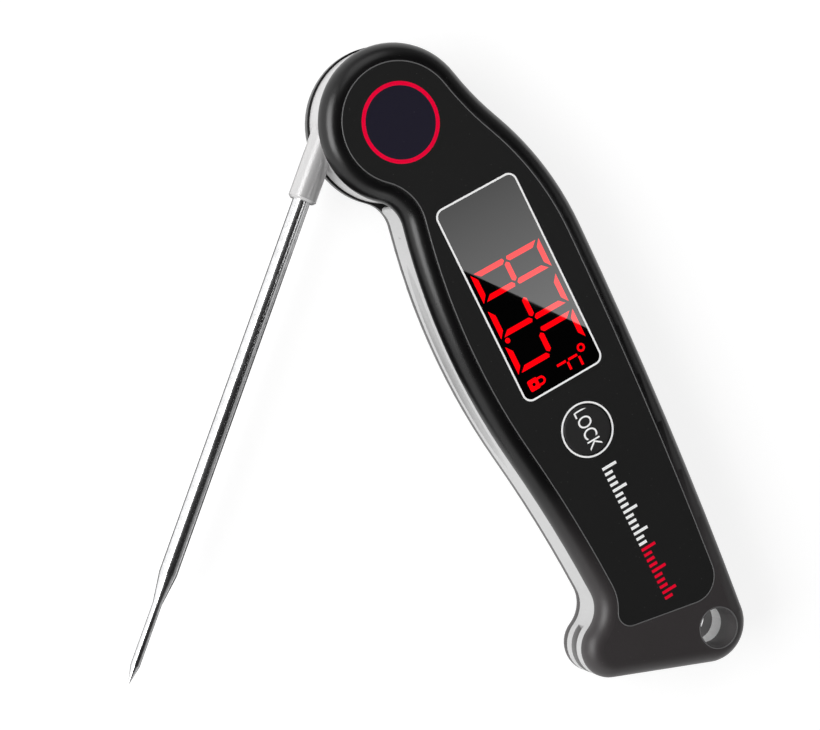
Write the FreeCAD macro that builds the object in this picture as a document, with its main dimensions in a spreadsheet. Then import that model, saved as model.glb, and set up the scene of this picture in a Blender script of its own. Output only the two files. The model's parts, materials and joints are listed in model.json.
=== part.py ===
"""Folding probe thermometer: a lit display in a slim case and a needle probe that folds out of its side.

Frame: X from the probe's pivot towards the foot of the case, Z out of the display face, Y across.
The origin lies on the pivot axis, on the flat back that the case rests on. Lengths are in millimetres.
The hub, its collar and the needle are drawn folded, along +X, and their Placement swings them out.
"""

import FreeCAD, Part
import math
import os
import Sketcher

Vector = FreeCAD.Vector

# name, value, meaning: the driving dimensions, which part.py writes into the sheet
SIZES = [
    ("back_cover_height", 5.6, "back face to the back parting line"),
    ("cell_space", 0.55, "AAA cell to the circuit board above it, which sets the middle frame's height"),
    ("front_cover_height", 4.0, "front parting line to the display face"),
    ("head_radius", 17.9, "round head of the case, about the pivot"),
    ("notch_radius", 7.4, "hollow between head and belly, on the probe's side"),
    ("belly_x", 55.8, "lowest point of the belly, along the case"),
    ("belly_depth", 12.9, "lowest point of the belly, below the pivot"),
    ("belly_radius", 159.3, "long curve of the belly"),
    ("foot_x", 129.8, "pivot to the centre of the foot's lobe, which sets the case's length"),
    ("foot_rise", 3.8, "folded probe's axis up to the centre of the foot's lobe"),
    ("foot_radius", 7.0, "foot's lobe"),
    ("waist_radius", 320.4, "long hollow curve after the belly"),
    ("instep_back", 13.1, "foot's lobe back to the hollow between it and the waist"),
    ("instep_radius", 7.2, "hollow between waist and foot"),
    ("heel_ahead", 7.5, "foot's lobe on to the rounded corner at the hanging hole"),
    ("heel_radius", 9.3, "rounded corner at the hanging hole"),
    ("top_x", 33.1, "where the nearly straight long side runs level"),
    ("top_radius", 1127.0, "nearly straight long side"),
    ("shoulder_x", 39.1, "highest point of the shoulder, along the case"),
    ("shoulder_height", 28.9, "highest point of the shoulder, above the pivot"),
    ("shoulder_radius", 69.8, "curve of the shoulder"),
    ("neck_radius", 66.0, "hollow between shoulder and head"),
    ("front_rim_radius", 3.9, "rounding of the front cover's rim"),
    ("back_rim_radius", 4.5, "rounding of the back cover's rim"),
    ("hang_hole_ahead", 1.3, "heel corner's centre on to the hanging hole"),
    ("hang_hole_rise", 0.85, "heel corner's centre up to the hanging hole"),
    ("hang_hole_radius", 4.7, "hanging hole through all three layers"),
    ("plate_inset", 4.33, "face plate's edge, inside the case's outline"),
    ("plate_thickness", 0.8, "face plate and what is let into it"),
    ("plate_end_back", 4.7, "foot's centre back to the face plate's end"),
    ("plate_end_lean", 11.6, "lean of the face plate's end, in degrees"),
    ("plate_low_corner", 3.1, "rounding of the plate's end corner by the foot"),
    ("plate_high_corner", 6.2, "rounding of the plate's end corner by the hanging hole"),
    ("plate_gap", 0.1, "clearance round the plate, window and cap"),
    ("bay_wall", 3.9, "walls of the inner bay, from the case's outline"),
    ("bay_bridge", 7.3, "solid wall between the hub's space and the bay"),
    ("bay_end_back", 1.6, "face plate's end back to the bay's end wall"),
    ("bay_corner", 1.6, "rounding of the bay's corners"),
    ("bay_roof", 1.8, "front cover above the bay"),
    ("bay_floor", 1.8, "back cover below the bay"),
    ("seal_inset", 1.5, "bay's edge to the near side of its seal"),
    ("seal_width", 1.0, "seal between a cover and the frame"),
    ("seal_depth", 0.7, "seal's height, in its groove in the frame"),
    ("window_x", 21.3, "display window's end near the pivot"),
    ("window_y", -2.4, "display window's long side near the probe"),
    ("window_length", 48.0, "display window along the case"),
    ("window_width", 21.0, "display window across the case"),
    ("window_corner", 2.0, "rounding of the window's corners"),
    ("display_x", 27.6, "display module's end near the pivot"),
    ("display_margin", 1.0, "window's edge to the display module"),
    ("display_gap", 0.1, "display module to the window above it"),
    ("display_side_gap", 0.35, "display module to the sides of its opening"),
    ("ring_radius", 8.65, "middle of the red ring about the pivot"),
    ("ring_width", 0.92, "width of the red ring"),
    ("button_ahead", 12.3, "window's end on to the hold button"),
    ("button_y", 7.8, "hold button, above the pivot"),
    ("button_radius", 5.75, "hold button's cap"),
    ("button_gap", 0.2, "clearance round the cap and its flange"),
    ("button_rise", 0.1, "cap's top above the face plate"),
    ("button_flange", 0.8, "flange beyond the cap, which keeps it in"),
    ("button_flange_height", 0.7, "thickness of that flange"),
    ("button_stem_radius", 1.5, "stem that presses the switch"),
    ("button_stem_length", 0.35, "stem below the flange"),
    ("button_travel", 0.4, "free travel before the switch's plunger"),
    ("hub_inset", 0.4, "hub's rim inside the head's outline"),
    ("hub_gap", 0.3, "hub to each cover"),
    ("hub_clearance", 0.7, "hub's rim to the frame"),
    ("hub_rim", 0.4, "rounding of the hub's rim"),
    ("frame_tip", 0.8, "rounding of the frame's two ends beside the hub"),
    ("axle_radius", 4.0, "pivot axle"),
    ("axle_fit", 0.05, "axle in the covers"),
    ("axle_back_seat", 2.4, "axle's depth in the back cover"),
    ("axle_front_seat", 1.0, "axle's depth in the front cover"),
    ("axle_threads", 5.0, "pivot screw's depth in the axle"),
    ("running_fit", 0.04, "bush on the axle"),
    ("bush_radius", 5.5, "bush pressed into the hub"),
    ("washer_radius", 8.0, "friction washer under the hub"),
    ("washer_height", 0.24, "friction washer's thickness"),
    ("ring_seal_radius", 13.6, "O-rings on the hub's two faces, to the middle of the cord"),
    ("ring_seal_cord", 0.6, "O-ring cord's radius"),
    ("ring_groove_gap", 0.1, "O-ring to the sides of its groove"),
    ("rest_angle", 48.2, "probe's swing out of its folded place, in degrees"),
    ("probe_proud", 0.2, "folded probe's axis below the belly's lowest point"),
    ("probe_radius", 2.0, "probe's tube"),
    ("probe_wall", 0.4, "wall of the tube and of the needle"),
    ("needle_radius", 1.03, "thin end of the probe"),
    ("probe_reach", 5.5, "foot's centre on to the folded probe's tip"),
    ("probe_seat", 7.0, "tube's inner end in the hub, along the probe"),
    ("taper_start", 25.1, "start of the taper, before the tip"),
    ("taper_end", 18.2, "end of the taper, before the tip"),
    ("point_length", 4.1, "needle's pointed end"),
    ("point_radius", 0.12, "blunt of the point"),
    ("collar_radius", 3.2, "collar round the tube"),
    ("collar_length", 23.3, "pivot to the collar's mouth, along the probe"),
    ("collar_rounding", 0.5, "rounding of the collar's mouth"),
    ("groove_gap", 0.4, "probe in its groove"),
    ("tip_slot_width", 2.9, "slot in the foot that hides the tip"),
    ("tip_slot_back", 13.8, "foot's centre back to the slot's start"),
    ("lead_radius", 0.3, "sensor leads in the tube"),
    ("sensor_radius", 0.5, "sensor bead in the needle"),
    ("sensor_length", 3.0, "sensor bead along the needle"),
    ("cell_radius", 5.2, "AAA cell"),
    ("cell_length", 43.7, "AAA cell's can"),
    ("cell_nub", 0.8, "AAA cell's positive nub"),
    ("cell_nub_radius", 1.9, "AAA cell's positive nub"),
    ("cell_x", 32.0, "cell's negative end, along the case"),
    ("cell_y", 8.6, "cell's axis, above the pivot"),
    ("cell_rest", 0.15, "cell above the door"),
    ("contact_thickness", 0.4, "battery contacts"),
    ("contact_width", 7.0, "battery contacts"),
    ("contact_spring_depth", 1.6, "bow of the negative contact's leaf"),
    ("door_margin", 1.2, "door opening round the cell"),
    ("door_overlap", 2.0, "door's flange over the opening's ledge"),
    ("door_flange", 0.9, "thickness of that flange"),
    ("door_tongue", 9.0, "door's end that takes the screw"),
    ("door_gap", 0.15, "clearance round the door"),
    ("door_corner", 1.5, "rounding of the door's corners"),
    ("screw_radius", 1.0, "case, door and board screws"),
    ("screw_head_radius", 1.9, "screw heads"),
    ("screw_head_height", 1.4, "screw heads"),
    ("screw_sink", 0.3, "screw heads below the back face"),
    ("screw_gap", 0.15, "clearance round a screw"),
    ("screw_bite", 2.2, "screw's depth in the front cover"),
    ("screw_drive", 0.75, "screws' hexagon recess"),
    ("screw_ring", 22.0, "pivot to the two case screws in the bridge"),
    ("screw_high_angle", 55.0, "first of those screws, in degrees from X"),
    ("screw_low_angle", 8.0, "second of those screws, in degrees below X"),
    ("foot_screw_ahead", 3.2, "foot's centre on to the third case screw"),
    ("foot_screw_y", 3.2, "third case screw, above the pivot"),
    ("pivot_screw_head", 3.2, "pivot screw's head radius"),
    ("pivot_screw_shank", 1.5, "pivot screw's shank radius"),
    ("board_thickness", 0.8, "circuit board"),
    ("board_gap", 0.5, "board to the bay's walls"),
    ("board_rise", 0.1, "board's top below the front parting line"),
    ("switch_size", 4.5, "press switch under the button"),
    ("switch_height", 1.3, "press switch's body"),
    ("switch_plunger", 1.2, "press switch's plunger radius"),
    ("chip_size", 6.0, "processor"),
    ("chip_height", 1.0, "processor"),
    ("chip_ahead", 15.4, "button on to the processor"),
    ("chip_y", 9.0, "processor, above the pivot"),
    ("motion_size", 2.6, "motion sensor that wakes and turns the display"),
    ("motion_ahead", 13.0, "processor on to the motion sensor"),
    ("fold_sensor_x", 31.0, "magnetic sensor that switches on as the probe opens"),
    ("fold_sensor_y", -3.4, "that sensor, across"),
    ("hub_magnet_ring", 10.2, "hub's magnet, from the pivot"),
    ("hub_magnet_radius", 1.5, "hub's magnet"),
    ("hub_magnet_height", 2.0, "hub's magnet"),
    ("magnet_radius", 6.0, "magnets behind the back face"),
    ("magnet_height", 2.0, "magnets behind the back face"),
    ("magnet_space", 4.9, "door screw's boss to the first magnet's rim"),
    ("magnet_pitch", 16.0, "spacing of those magnets"),
    ("magnet_y", 8.5, "those magnets, above the pivot"),
    ("magnet_rib", 0.8, "rim that holds a magnet"),
    ("stand_radius", 2.6, "front cover's posts for the board screws"),
    ("stand_ahead", 9.4, "button on to the first board screw"),
    ("stand_pitch", 26.5, "first board screw on to the second"),
    ("stand_first_y", 17.5, "first board screw, above the pivot"),
    ("stand_second_y", 15.0, "second board screw, above the pivot"),
]


class Quantity:
    """A size that carries both its number and the sheet formula that gives it."""

    def __init__(self, number, formula):
        self.number = number
        self.formula = formula

    def joined(self, other, sign, number):
        """Return a new quantity made of this one, a sign and another."""
        return Quantity(number, f"({self.formula} {sign} {other.formula})")

    def __add__(self, other):
        other = quantity(other)
        return self.joined(other, "+", self.number + other.number)

    def __sub__(self, other):
        other = quantity(other)
        return self.joined(other, "-", self.number - other.number)

    def __mul__(self, other):
        other = quantity(other)
        return self.joined(other, "*", self.number * other.number)

    def __truediv__(self, other):
        other = quantity(other)
        return self.joined(other, "/", self.number / other.number)

    def __neg__(self):
        return Quantity(-self.number, f"(-{self.formula})")


def quantity(value):
    """Return a plain number as a quantity, and a quantity as it is."""
    if isinstance(value, Quantity):
        return value
    return Quantity(float(value), f"{value}")


def root(square):
    """Return the square root of a quantity."""
    return Quantity(math.sqrt(square.number), f"sqrt({square.formula})")


def cosine(angle):
    """Return the cosine of a quantity in degrees."""
    return Quantity(math.cos(math.radians(angle.number)), f"cos({angle.formula} * 1 deg)")


def sine(angle):
    """Return the sine of a quantity in degrees."""
    return Quantity(math.sin(math.radians(angle.number)), f"sin({angle.formula} * 1 deg)")


class Sizes:
    """The sheet's cells, by name, as quantities."""

    def __init__(self, rows):
        for name, value, _ in rows:
            setattr(self, name, Quantity(value, f"Sizes.{name}"))


doc = FreeCAD.newDocument("thermometer")
sheet = doc.addObject("Spreadsheet::Sheet", "Sizes")
for row, (size_name, size_value, meaning) in enumerate(SIZES, start=1):
    sheet.set(f"A{row}", size_name)
    sheet.set(f"B{row}", str(size_value))
    sheet.set(f"C{row}", meaning)
    sheet.setAlias(f"B{row}", size_name)
doc.recompute()
s = Sizes(SIZES)

# heights and places that several pieces share
frame_z = s.back_cover_height
cell_z = s.bay_floor + s.cell_rest + s.cell_radius
board_z = cell_z + s.cell_radius + s.cell_space
board_top_z = board_z + s.board_thickness
front_z = board_top_z + s.board_rise
frame_height = front_z - frame_z
middle_z = frame_z + frame_height / 2
face_z = front_z + s.front_cover_height
plate_z = face_z - s.plate_thickness
bay_top_z = face_z - s.bay_roof
axle_z = frame_z - s.axle_back_seat
axle_top_z = front_z + s.axle_front_seat
pivot_head_z = plate_z - s.screw_head_height - s.plate_gap
hub_radius = s.head_radius - s.hub_inset
hub_space = hub_radius + s.hub_clearance
hub_z = frame_z + s.hub_gap
hub_height = frame_height - s.hub_gap * 2
probe_offset = s.belly_depth + s.probe_proud
probe_length = s.foot_x + s.probe_reach
tip_slot_start = s.foot_x - s.tip_slot_back
plate_end = s.foot_x - s.plate_end_back
bay_end = plate_end - s.bay_end_back
button_x = s.window_x + s.window_length + s.button_ahead
chip_x = button_x + s.chip_ahead
stand_x = button_x + s.stand_ahead
board_screws = [(stand_x, s.stand_first_y), (stand_x + s.stand_pitch, s.stand_second_y)]
door_x = s.cell_x - s.door_margin - s.contact_spring_depth
door_y = s.cell_y - s.cell_radius - s.door_margin
door_length = s.cell_length + s.cell_nub + s.contact_spring_depth + s.door_margin * 2
door_width = s.cell_radius * 2 + s.door_margin * 2
door_screw_x = door_x + door_length + s.door_tongue / 2
magnet_x = door_screw_x + s.stand_radius + s.magnet_space + s.magnet_rib + s.magnet_radius
case_screws = [
    (s.screw_ring * cosine(s.screw_high_angle), s.screw_ring * sine(s.screw_high_angle)),
    (s.screw_ring * cosine(s.screw_low_angle), -s.screw_ring * sine(s.screw_low_angle)),
    (s.foot_x + s.foot_screw_ahead, s.foot_screw_y),
]
nodes = []


# ---- plane geometry of the outline: arcs that run smoothly into each other ----

class Arc:
    """One arc of an outline: its circle, and whether it bulges outwards.

    An anchored arc's centre is set along both axes. Another's is set along X only, or not at all,
    and its smooth joints to the arcs beside it place it.
    """

    def __init__(self, centre, radius, convex=True, fixed_x=None, fixed_y=None, anchored=False):
        self.centre = centre
        self.radius = radius
        self.convex = convex
        self.fixed_x = fixed_x
        self.fixed_y = fixed_y
        self.anchored = anchored

    def inset(self, distance):
        """Return the arc moved into the outline by a distance."""
        radius = self.radius - distance if self.convex else self.radius + distance
        return Arc(self.centre, radius, self.convex, self.fixed_x, self.fixed_y, self.anchored)


class EndLine:
    """A straight end between two convex arcs; free, or with a set distance and lean."""

    def __init__(self, distance=None, lean=None):
        self.distance = distance
        self.lean = lean


def crossing(first, first_radius, second, second_radius, left):
    """Return where two circles cross, on the left or right of the way from first to second."""
    way = second - first
    gap = way.Length
    along = (gap ** 2 + first_radius ** 2 - second_radius ** 2) / (2 * gap)
    aside = math.sqrt(first_radius ** 2 - along ** 2)
    across = Vector(-way.y, way.x, 0) / gap
    return first + way * (along / gap) + across * (aside if left else -aside)


def line_crossing(normal, distance, centre, radius, upper):
    """Return where a line, given by its normal and distance, crosses a circle."""
    direction = Vector(-normal.y, normal.x, 0)
    offset = distance - centre.dot(normal)
    reach = math.sqrt(radius ** 2 - offset ** 2)
    return centre + normal * offset + direction * (reach if upper else -reach)


def fixed_arc(x, y, radius, convex=True):
    """Return an arc whose centre is set by the sheet along both axes."""
    return Arc(Vector(x.number, y.number, 0), radius, convex, x, y, True)


def beside(neighbour, x, radius, convex, above):
    """Return an arc that touches its neighbour, set by its centre's place along the case."""
    if convex == neighbour.convex:
        reach = neighbour.radius - radius
    else:
        reach = neighbour.radius + radius
    aside = x - neighbour.fixed_x
    rise = root(reach * reach - aside * aside)
    y = neighbour.fixed_y + rise if above else neighbour.fixed_y - rise
    return Arc(Vector(x.number, y.number, 0), radius, convex, x, y)


def case_arcs():
    """Return the case outline's arcs by name."""
    head = fixed_arc(quantity(0), quantity(0), s.head_radius)
    belly = fixed_arc(s.belly_x, s.belly_radius - s.belly_depth, s.belly_radius)
    foot = fixed_arc(s.foot_x, s.foot_rise - probe_offset, s.foot_radius)
    instep = beside(foot, s.foot_x - s.instep_back, s.instep_radius, False, False)
    waist_centre = crossing(belly.centre, (s.belly_radius + s.waist_radius).number,
                            instep.centre, (s.waist_radius - s.instep_radius).number, False)
    waist = Arc(waist_centre, s.waist_radius, False)
    shoulder = fixed_arc(s.shoulder_x, s.shoulder_height - s.shoulder_radius, s.shoulder_radius)
    top = beside(shoulder, s.top_x, s.top_radius, True, False)
    heel = beside(top, s.foot_x + s.heel_ahead, s.heel_radius, True, True)

    notch_centre = crossing(head.centre, (s.head_radius + s.notch_radius).number,
                            belly.centre, (s.belly_radius + s.notch_radius).number, False)
    notch = Arc(notch_centre, s.notch_radius, False)

    neck_centre = crossing(head.centre, (s.head_radius + s.neck_radius).number,
                           shoulder.centre, (s.shoulder_radius + s.neck_radius).number, True)
    neck = Arc(neck_centre, s.neck_radius, False)
    return {"head": head, "notch": notch, "belly": belly, "waist": waist, "instep": instep,
            "foot": foot, "heel": heel, "top": top, "shoulder": shoulder, "neck": neck}


def case_outline(inset=0):
    """Return the whole case outline, moved in by a distance, counter-clockwise."""
    arcs = {name: arc.inset(quantity(inset)) for name, arc in case_arcs().items()}
    order = ["head", "notch", "belly", "waist", "instep", "foot", "end", "heel", "top", "shoulder", "neck"]
    return [EndLine() if name == "end" else arcs[name] for name in order]


def frame_outline():
    """Return the frame's outline: the case's, with the hub's space cut out of the head."""
    arcs = case_arcs()
    space = fixed_arc(quantity(0), quantity(0), hub_space, False)
    reach = (hub_space + s.frame_tip).number
    ends = {}
    for name, left in (("notch", True), ("neck", False)):
        hollow = arcs[name]
        centre = crossing(space.centre, reach, hollow.centre, (hollow.radius + s.frame_tip).number, left)
        ends[name] = Arc(centre, s.frame_tip)
    return [space, ends["notch"], arcs["notch"], arcs["belly"], arcs["waist"], arcs["instep"],
            arcs["foot"], EndLine(), arcs["heel"], arcs["top"], arcs["shoulder"], arcs["neck"],
            ends["neck"]]


def end_corners(instep, top, distance, low, high):
    """Return the two rounded corners and the straight end that close a panel before the foot."""
    lean = math.radians(s.plate_end_lean.number)
    normal = Vector(math.cos(lean), -math.sin(lean), 0)
    low_centre = line_crossing(normal, (distance - low).number, instep.centre,
                               (instep.radius + low).number, True)
    high_centre = line_crossing(normal, (distance - high).number, top.centre,
                                (top.radius - high).number, True)
    return Arc(low_centre, low), EndLine(distance, s.plate_end_lean), Arc(high_centre, high)


def plate_outline(grow):
    """Return the face plate's outline, grown by a clearance."""
    inset = s.plate_inset - grow
    arcs = {name: arc.inset(inset) for name, arc in case_arcs().items()}
    arcs["instep"].anchored = True
    low, end, high = end_corners(arcs["instep"], arcs["top"], plate_end + grow,
                                 s.plate_low_corner + grow, s.plate_high_corner + grow)
    return [arcs["head"], arcs["notch"], arcs["belly"], arcs["waist"], arcs["instep"],
            low, end, high, arcs["top"], arcs["shoulder"], arcs["neck"]]


def bay_outline(grow=0):
    """Return the outline of the inner bay between the hub and the foot, grown by a distance."""
    grow = quantity(grow)
    arcs = {name: arc.inset(s.bay_wall - grow) for name, arc in case_arcs().items()}
    bridge = fixed_arc(quantity(0), quantity(0), hub_space + s.bay_bridge - grow, False)
    arcs["instep"].anchored = True
    corner = s.bay_corner + grow
    low, end, high = end_corners(arcs["instep"], arcs["top"], bay_end + grow, corner, corner)
    reach = (bridge.radius + corner).number
    belly = crossing(Vector(), reach, arcs["belly"].centre, (arcs["belly"].radius - corner).number, False)
    shoulder = crossing(Vector(), reach, arcs["shoulder"].centre,
                        (arcs["shoulder"].radius - corner).number, True)
    return [bridge, Arc(belly, corner), arcs["belly"], arcs["waist"], arcs["instep"],
            low, end, high, arcs["top"], arcs["shoulder"], Arc(shoulder, corner)]


def touching_point(first, second):
    """Return the point where two smoothly joined arcs meet."""
    first_radius = first.radius.number
    second_radius = second.radius.number
    if first.convex != second.convex:
        return first.centre + (second.centre - first.centre) * (first_radius / (first_radius + second_radius))
    small, large = (first, second) if first_radius < second_radius else (second, first)
    outwards = (small.centre - large.centre).normalize()
    return small.centre + outwards * small.radius.number


def end_points(before, after):
    """Return the ends of the straight line that touches two convex arcs on their outer side."""
    way = after.centre - before.centre
    ahead = Vector(way).normalize()
    right = Vector(ahead.y, -ahead.x, 0)
    slope = (before.radius.number - after.radius.number) / way.Length
    normal = ahead * slope + right * math.sqrt(1 - slope ** 2)
    return before.centre + normal * before.radius.number, after.centre + normal * after.radius.number


# ---- sketches and features ----

def new_body(label):
    """Start a sub-part as a PartDesign body."""
    body = doc.addObject("PartDesign::Body", label)
    body.Label = label
    nodes.append(body)
    return body


def new_sketch(body, name, height, y=None, plane="XY_Plane"):
    """Attach a sketch to one of the body's own origin planes, at a height along its normal."""
    sketch = body.newObject("Sketcher::SketchObject", name)
    support = next(item for item in body.Origin.OriginFeatures if item.Role == plane)
    sketch.AttachmentSupport = [(support, "")]
    sketch.MapMode = "FlatFace"
    height = quantity(height)
    side = quantity(0 if y is None else y)
    sketch.AttachmentOffset = FreeCAD.Placement(Vector(0, side.number, height.number), FreeCAD.Rotation())
    sketch.setExpression(".AttachmentOffset.Base.z", height.formula)
    if y is not None:
        sketch.setExpression(".AttachmentOffset.Base.y", side.formula)
    return sketch


def bind(sketch, kind, where, size):
    """Add one dimension to a sketch and tie it to its formula."""
    size = quantity(size)
    index = sketch.addConstraint(Sketcher.Constraint(kind, *where, size.number))
    sketch.setExpression(f"Constraints[{index}]", size.formula)


def place_point(sketch, geometry, point, x, y):
    """Tie a point of a sketch to its place from the sketch's origin."""
    for kind, value in (("DistanceX", quantity(x)), ("DistanceY", quantity(y))):
        if value.formula in ("0", "0.0"):
            other_axis = -2 if kind == "DistanceX" else -1
            sketch.addConstraint(Sketcher.Constraint("PointOnObject", geometry, point, other_axis))
        else:
            bind(sketch, kind, (-1, 1, geometry, point), value)


def add_circle(sketch, x, y, radius):
    """Add a circle whose place and radius come from the sheet."""
    x, y, radius = quantity(x), quantity(y), quantity(radius)
    circle = Part.Circle(Vector(x.number, y.number, 0), Vector(0, 0, 1), radius.number)
    index = sketch.addGeometry(circle, False)
    bind(sketch, "Radius", (index,), radius)
    place_point(sketch, index, 3, x, y)


def add_polygon(sketch, points):
    """Add a closed polygon, each corner tied to its place."""
    corners = [(quantity(x), quantity(y)) for x, y in points]
    spots = [Vector(x.number, y.number, 0) for x, y in corners]
    lines = [Part.LineSegment(spots[i - 1], spots[i]) for i in range(len(spots))]
    first = sketch.addGeometry(lines, False)[0]
    for i in range(len(spots)):
        following = first + (i + 1) % len(spots)
        sketch.addConstraint(Sketcher.Constraint("Coincident", first + i, 2, following, 1))
        place_point(sketch, first + i, 2, *corners[i])


def add_slab(sketch, left, bottom, length, width, corner):
    """Add a rectangle with rounded corners, from its lower left corner."""
    left, bottom, length, width, corner = map(quantity, (left, bottom, length, width, corner))
    centres = [(left + corner, bottom + corner), (left + length - corner, bottom + corner),
               (left + length - corner, bottom + width - corner), (left + corner, bottom + width - corner)]
    outline = []
    for x, y in centres:
        outline.append(fixed_arc(x, y, corner))
        outline.append(EndLine())
    add_outline(sketch, outline)


def add_outline(sketch, outline):
    """Add a closed outline of smoothly joined arcs and straight ends, counter-clockwise."""
    count = len(outline)
    starts = {}
    ends = {}
    for i in range(count):
        here, after = outline[i], outline[(i + 1) % count]
        if isinstance(after, EndLine):
            beyond = (i + 2) % count
            ends[i], starts[beyond] = end_points(here, outline[beyond])
        elif not isinstance(here, EndLine):
            ends[i] = starts[(i + 1) % count] = touching_point(here, after)

    indices = []
    for i, piece in enumerate(outline):
        if isinstance(piece, EndLine):
            geometry = Part.LineSegment(ends[i - 1], starts[(i + 1) % count])
        else:
            geometry = arc_geometry(piece, starts[i], ends[i])
        indices.append(sketch.addGeometry(geometry, False))

    for i, piece in enumerate(outline):
        following = (i + 1) % count
        after = outline[following]
        leaving = 2 if isinstance(piece, EndLine) or piece.convex else 1
        arriving = 1 if isinstance(after, EndLine) or after.convex else 2
        sketch.addConstraint(
            Sketcher.Constraint("Tangent", indices[i], leaving, indices[following], arriving))
        constrain_piece(sketch, piece, indices[i])


def arc_geometry(arc, start, end):
    """Return the sketch geometry of an arc between two points of its circle."""
    first, last = (start, end) if arc.convex else (end, start)
    angles = [math.atan2(point.y - arc.centre.y, point.x - arc.centre.x) for point in (first, last)]
    if angles[1] < angles[0]:
        angles[1] += 2 * math.pi
    circle = Part.Circle(arc.centre, Vector(0, 0, 1), arc.radius.number)
    return Part.ArcOfCircle(circle, *angles)


def constrain_piece(sketch, piece, index):
    """Tie one piece of an outline to its own sizes."""
    if isinstance(piece, EndLine):
        if piece.distance:
            bind(sketch, "Distance", (-1, 1, index), piece.distance)
            slope = Sketcher.Constraint("Angle", index, math.radians(90 - piece.lean.number))
            place = sketch.addConstraint(slope)
            sketch.setExpression(f"Constraints[{place}]", f"(90 - {piece.lean.formula}) * 1 deg")
        return
    bind(sketch, "Radius", (index,), piece.radius)
    if piece.fixed_x and piece.anchored:
        place_point(sketch, index, 3, piece.fixed_x, piece.fixed_y)
    elif piece.fixed_x:
        bind(sketch, "DistanceX", (-1, 1, index, 3), piece.fixed_x)


def pad(body, sketch, length):
    """Raise a sketch along its normal."""
    feature = body.newObject("PartDesign::Pad", f"{sketch.Name}_pad")
    feature.Profile = sketch
    feature.setExpression("Length", quantity(length).formula)
    sketch.Visibility = False
    return feature


def pocket(body, sketch, depth, upwards=False):
    """Cut a sketch into the body, downwards unless told otherwise, and check that it cuts."""
    return cut(body, sketch, "PartDesign::Pocket", {"Length": quantity(depth)}, upwards)


def turned_cut(body, sketch, axis):
    """Cut a full turn of a sketch about one of its own axes, and check that it cuts."""
    return cut(body, sketch, "PartDesign::Groove", {}, False, axis)


def cut(body, sketch, kind, sizes, upwards, axis=None):
    """Add a cutting feature; a cut that removes nothing is an error."""
    doc.recompute()
    before = body.Shape.Volume
    feature = body.newObject(kind, f"{sketch.Name}_cut")
    feature.Profile = sketch
    feature.Reversed = upwards
    if axis:
        feature.ReferenceAxis = (sketch, [axis])
        feature.Angle = 360
    for name, size in sizes.items():
        feature.setExpression(name, size.formula)
    doc.recompute()
    if not body.Shape.Volume < before - 1e-6:
        raise RuntimeError(f"{feature.Name} removes nothing from {body.Label}")
    return feature


def turned(body, sketch, axis):
    """Add a full turn of a sketch about one of its own axes."""
    feature = body.newObject("PartDesign::Revolution", f"{sketch.Name}_turn")
    feature.Profile = sketch
    feature.ReferenceAxis = (sketch, [axis])
    feature.Angle = 360
    return feature


def round_edges(body, radius, chosen):
    """Round the edges of the body's last feature that a test chooses."""
    doc.recompute()
    base = body.Tip
    names = [f"Edge{i}" for i, edge in enumerate(base.Shape.Edges, start=1) if chosen(edge)]
    feature = body.newObject("PartDesign::Fillet", f"{body.Name}_rounding")
    feature.Base = (base, names)
    feature.setExpression("Radius", quantity(radius).formula)
    return feature


def lies_at(edge, z):
    """Tell whether an edge lies wholly at one height."""
    box = edge.BoundBox
    return abs(box.ZMin - z) < 1e-4 and abs(box.ZMax - z) < 1e-4


def swing(node):
    """Swing a piece that is drawn folded out to the probe's rest angle."""
    node.Placement = FreeCAD.Placement(Vector(), FreeCAD.Rotation(Vector(0, 0, -1), s.rest_angle.number))
    node.setExpression("Placement.Rotation.Angle", s.rest_angle.formula)


def primitive(kind, name, place, **sizes):
    """Add a Part primitive whose sizes and place are tied to the sheet."""
    item = doc.addObject(kind, name)
    for key, value in sizes.items():
        item.setExpression(key, quantity(value).formula)
    for axis, value in zip("xyz", place):
        item.setExpression(f".Placement.Base.{axis}", quantity(value).formula)
    return item


def cylinder(name, place, radius, height):
    """Add an upright cylinder on its lower centre."""
    return primitive("Part::Cylinder", name, place, Radius=radius, Height=height)


def box(name, place, length, width, height):
    """Add a box on its lowest corner."""
    return primitive("Part::Box", name, place, Length=length, Width=width, Height=height)


def joined(label, parts):
    """Make one node out of several primitives, fused where they touch and apart where they don't."""
    if len(parts) == 1:
        node = parts[0]
    else:
        node = doc.addObject("Part::MultiFuse", label)
        node.Shapes = parts
    node.Label = label
    nodes.append(node)
    return node


def difference(name, base, tool):
    """Cut one object out of another."""
    node = doc.addObject("Part::Cut", name)
    node.Base = base
    node.Tool = tool
    return node


def screw(name, x, y, head_z, length, head_radius, shank_radius, drive_depth):
    """Add a screw that points up, its head's underside lowest, with a hexagon recess."""
    head = cylinder(f"{name}_head", (x, y, head_z), head_radius, s.screw_head_height)
    shank = cylinder(f"{name}_shank", (x, y, head_z + s.screw_head_height), shank_radius, length)
    recess = primitive("Part::Prism", f"{name}_recess", (x, y, head_z),
                       Circumradius=s.screw_drive, Height=drive_depth)
    whole = doc.addObject("Part::MultiFuse", f"{name}_blank")
    whole.Shapes = [head, shank]
    return difference(name, whole, recess)


# ---- the case ----

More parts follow.
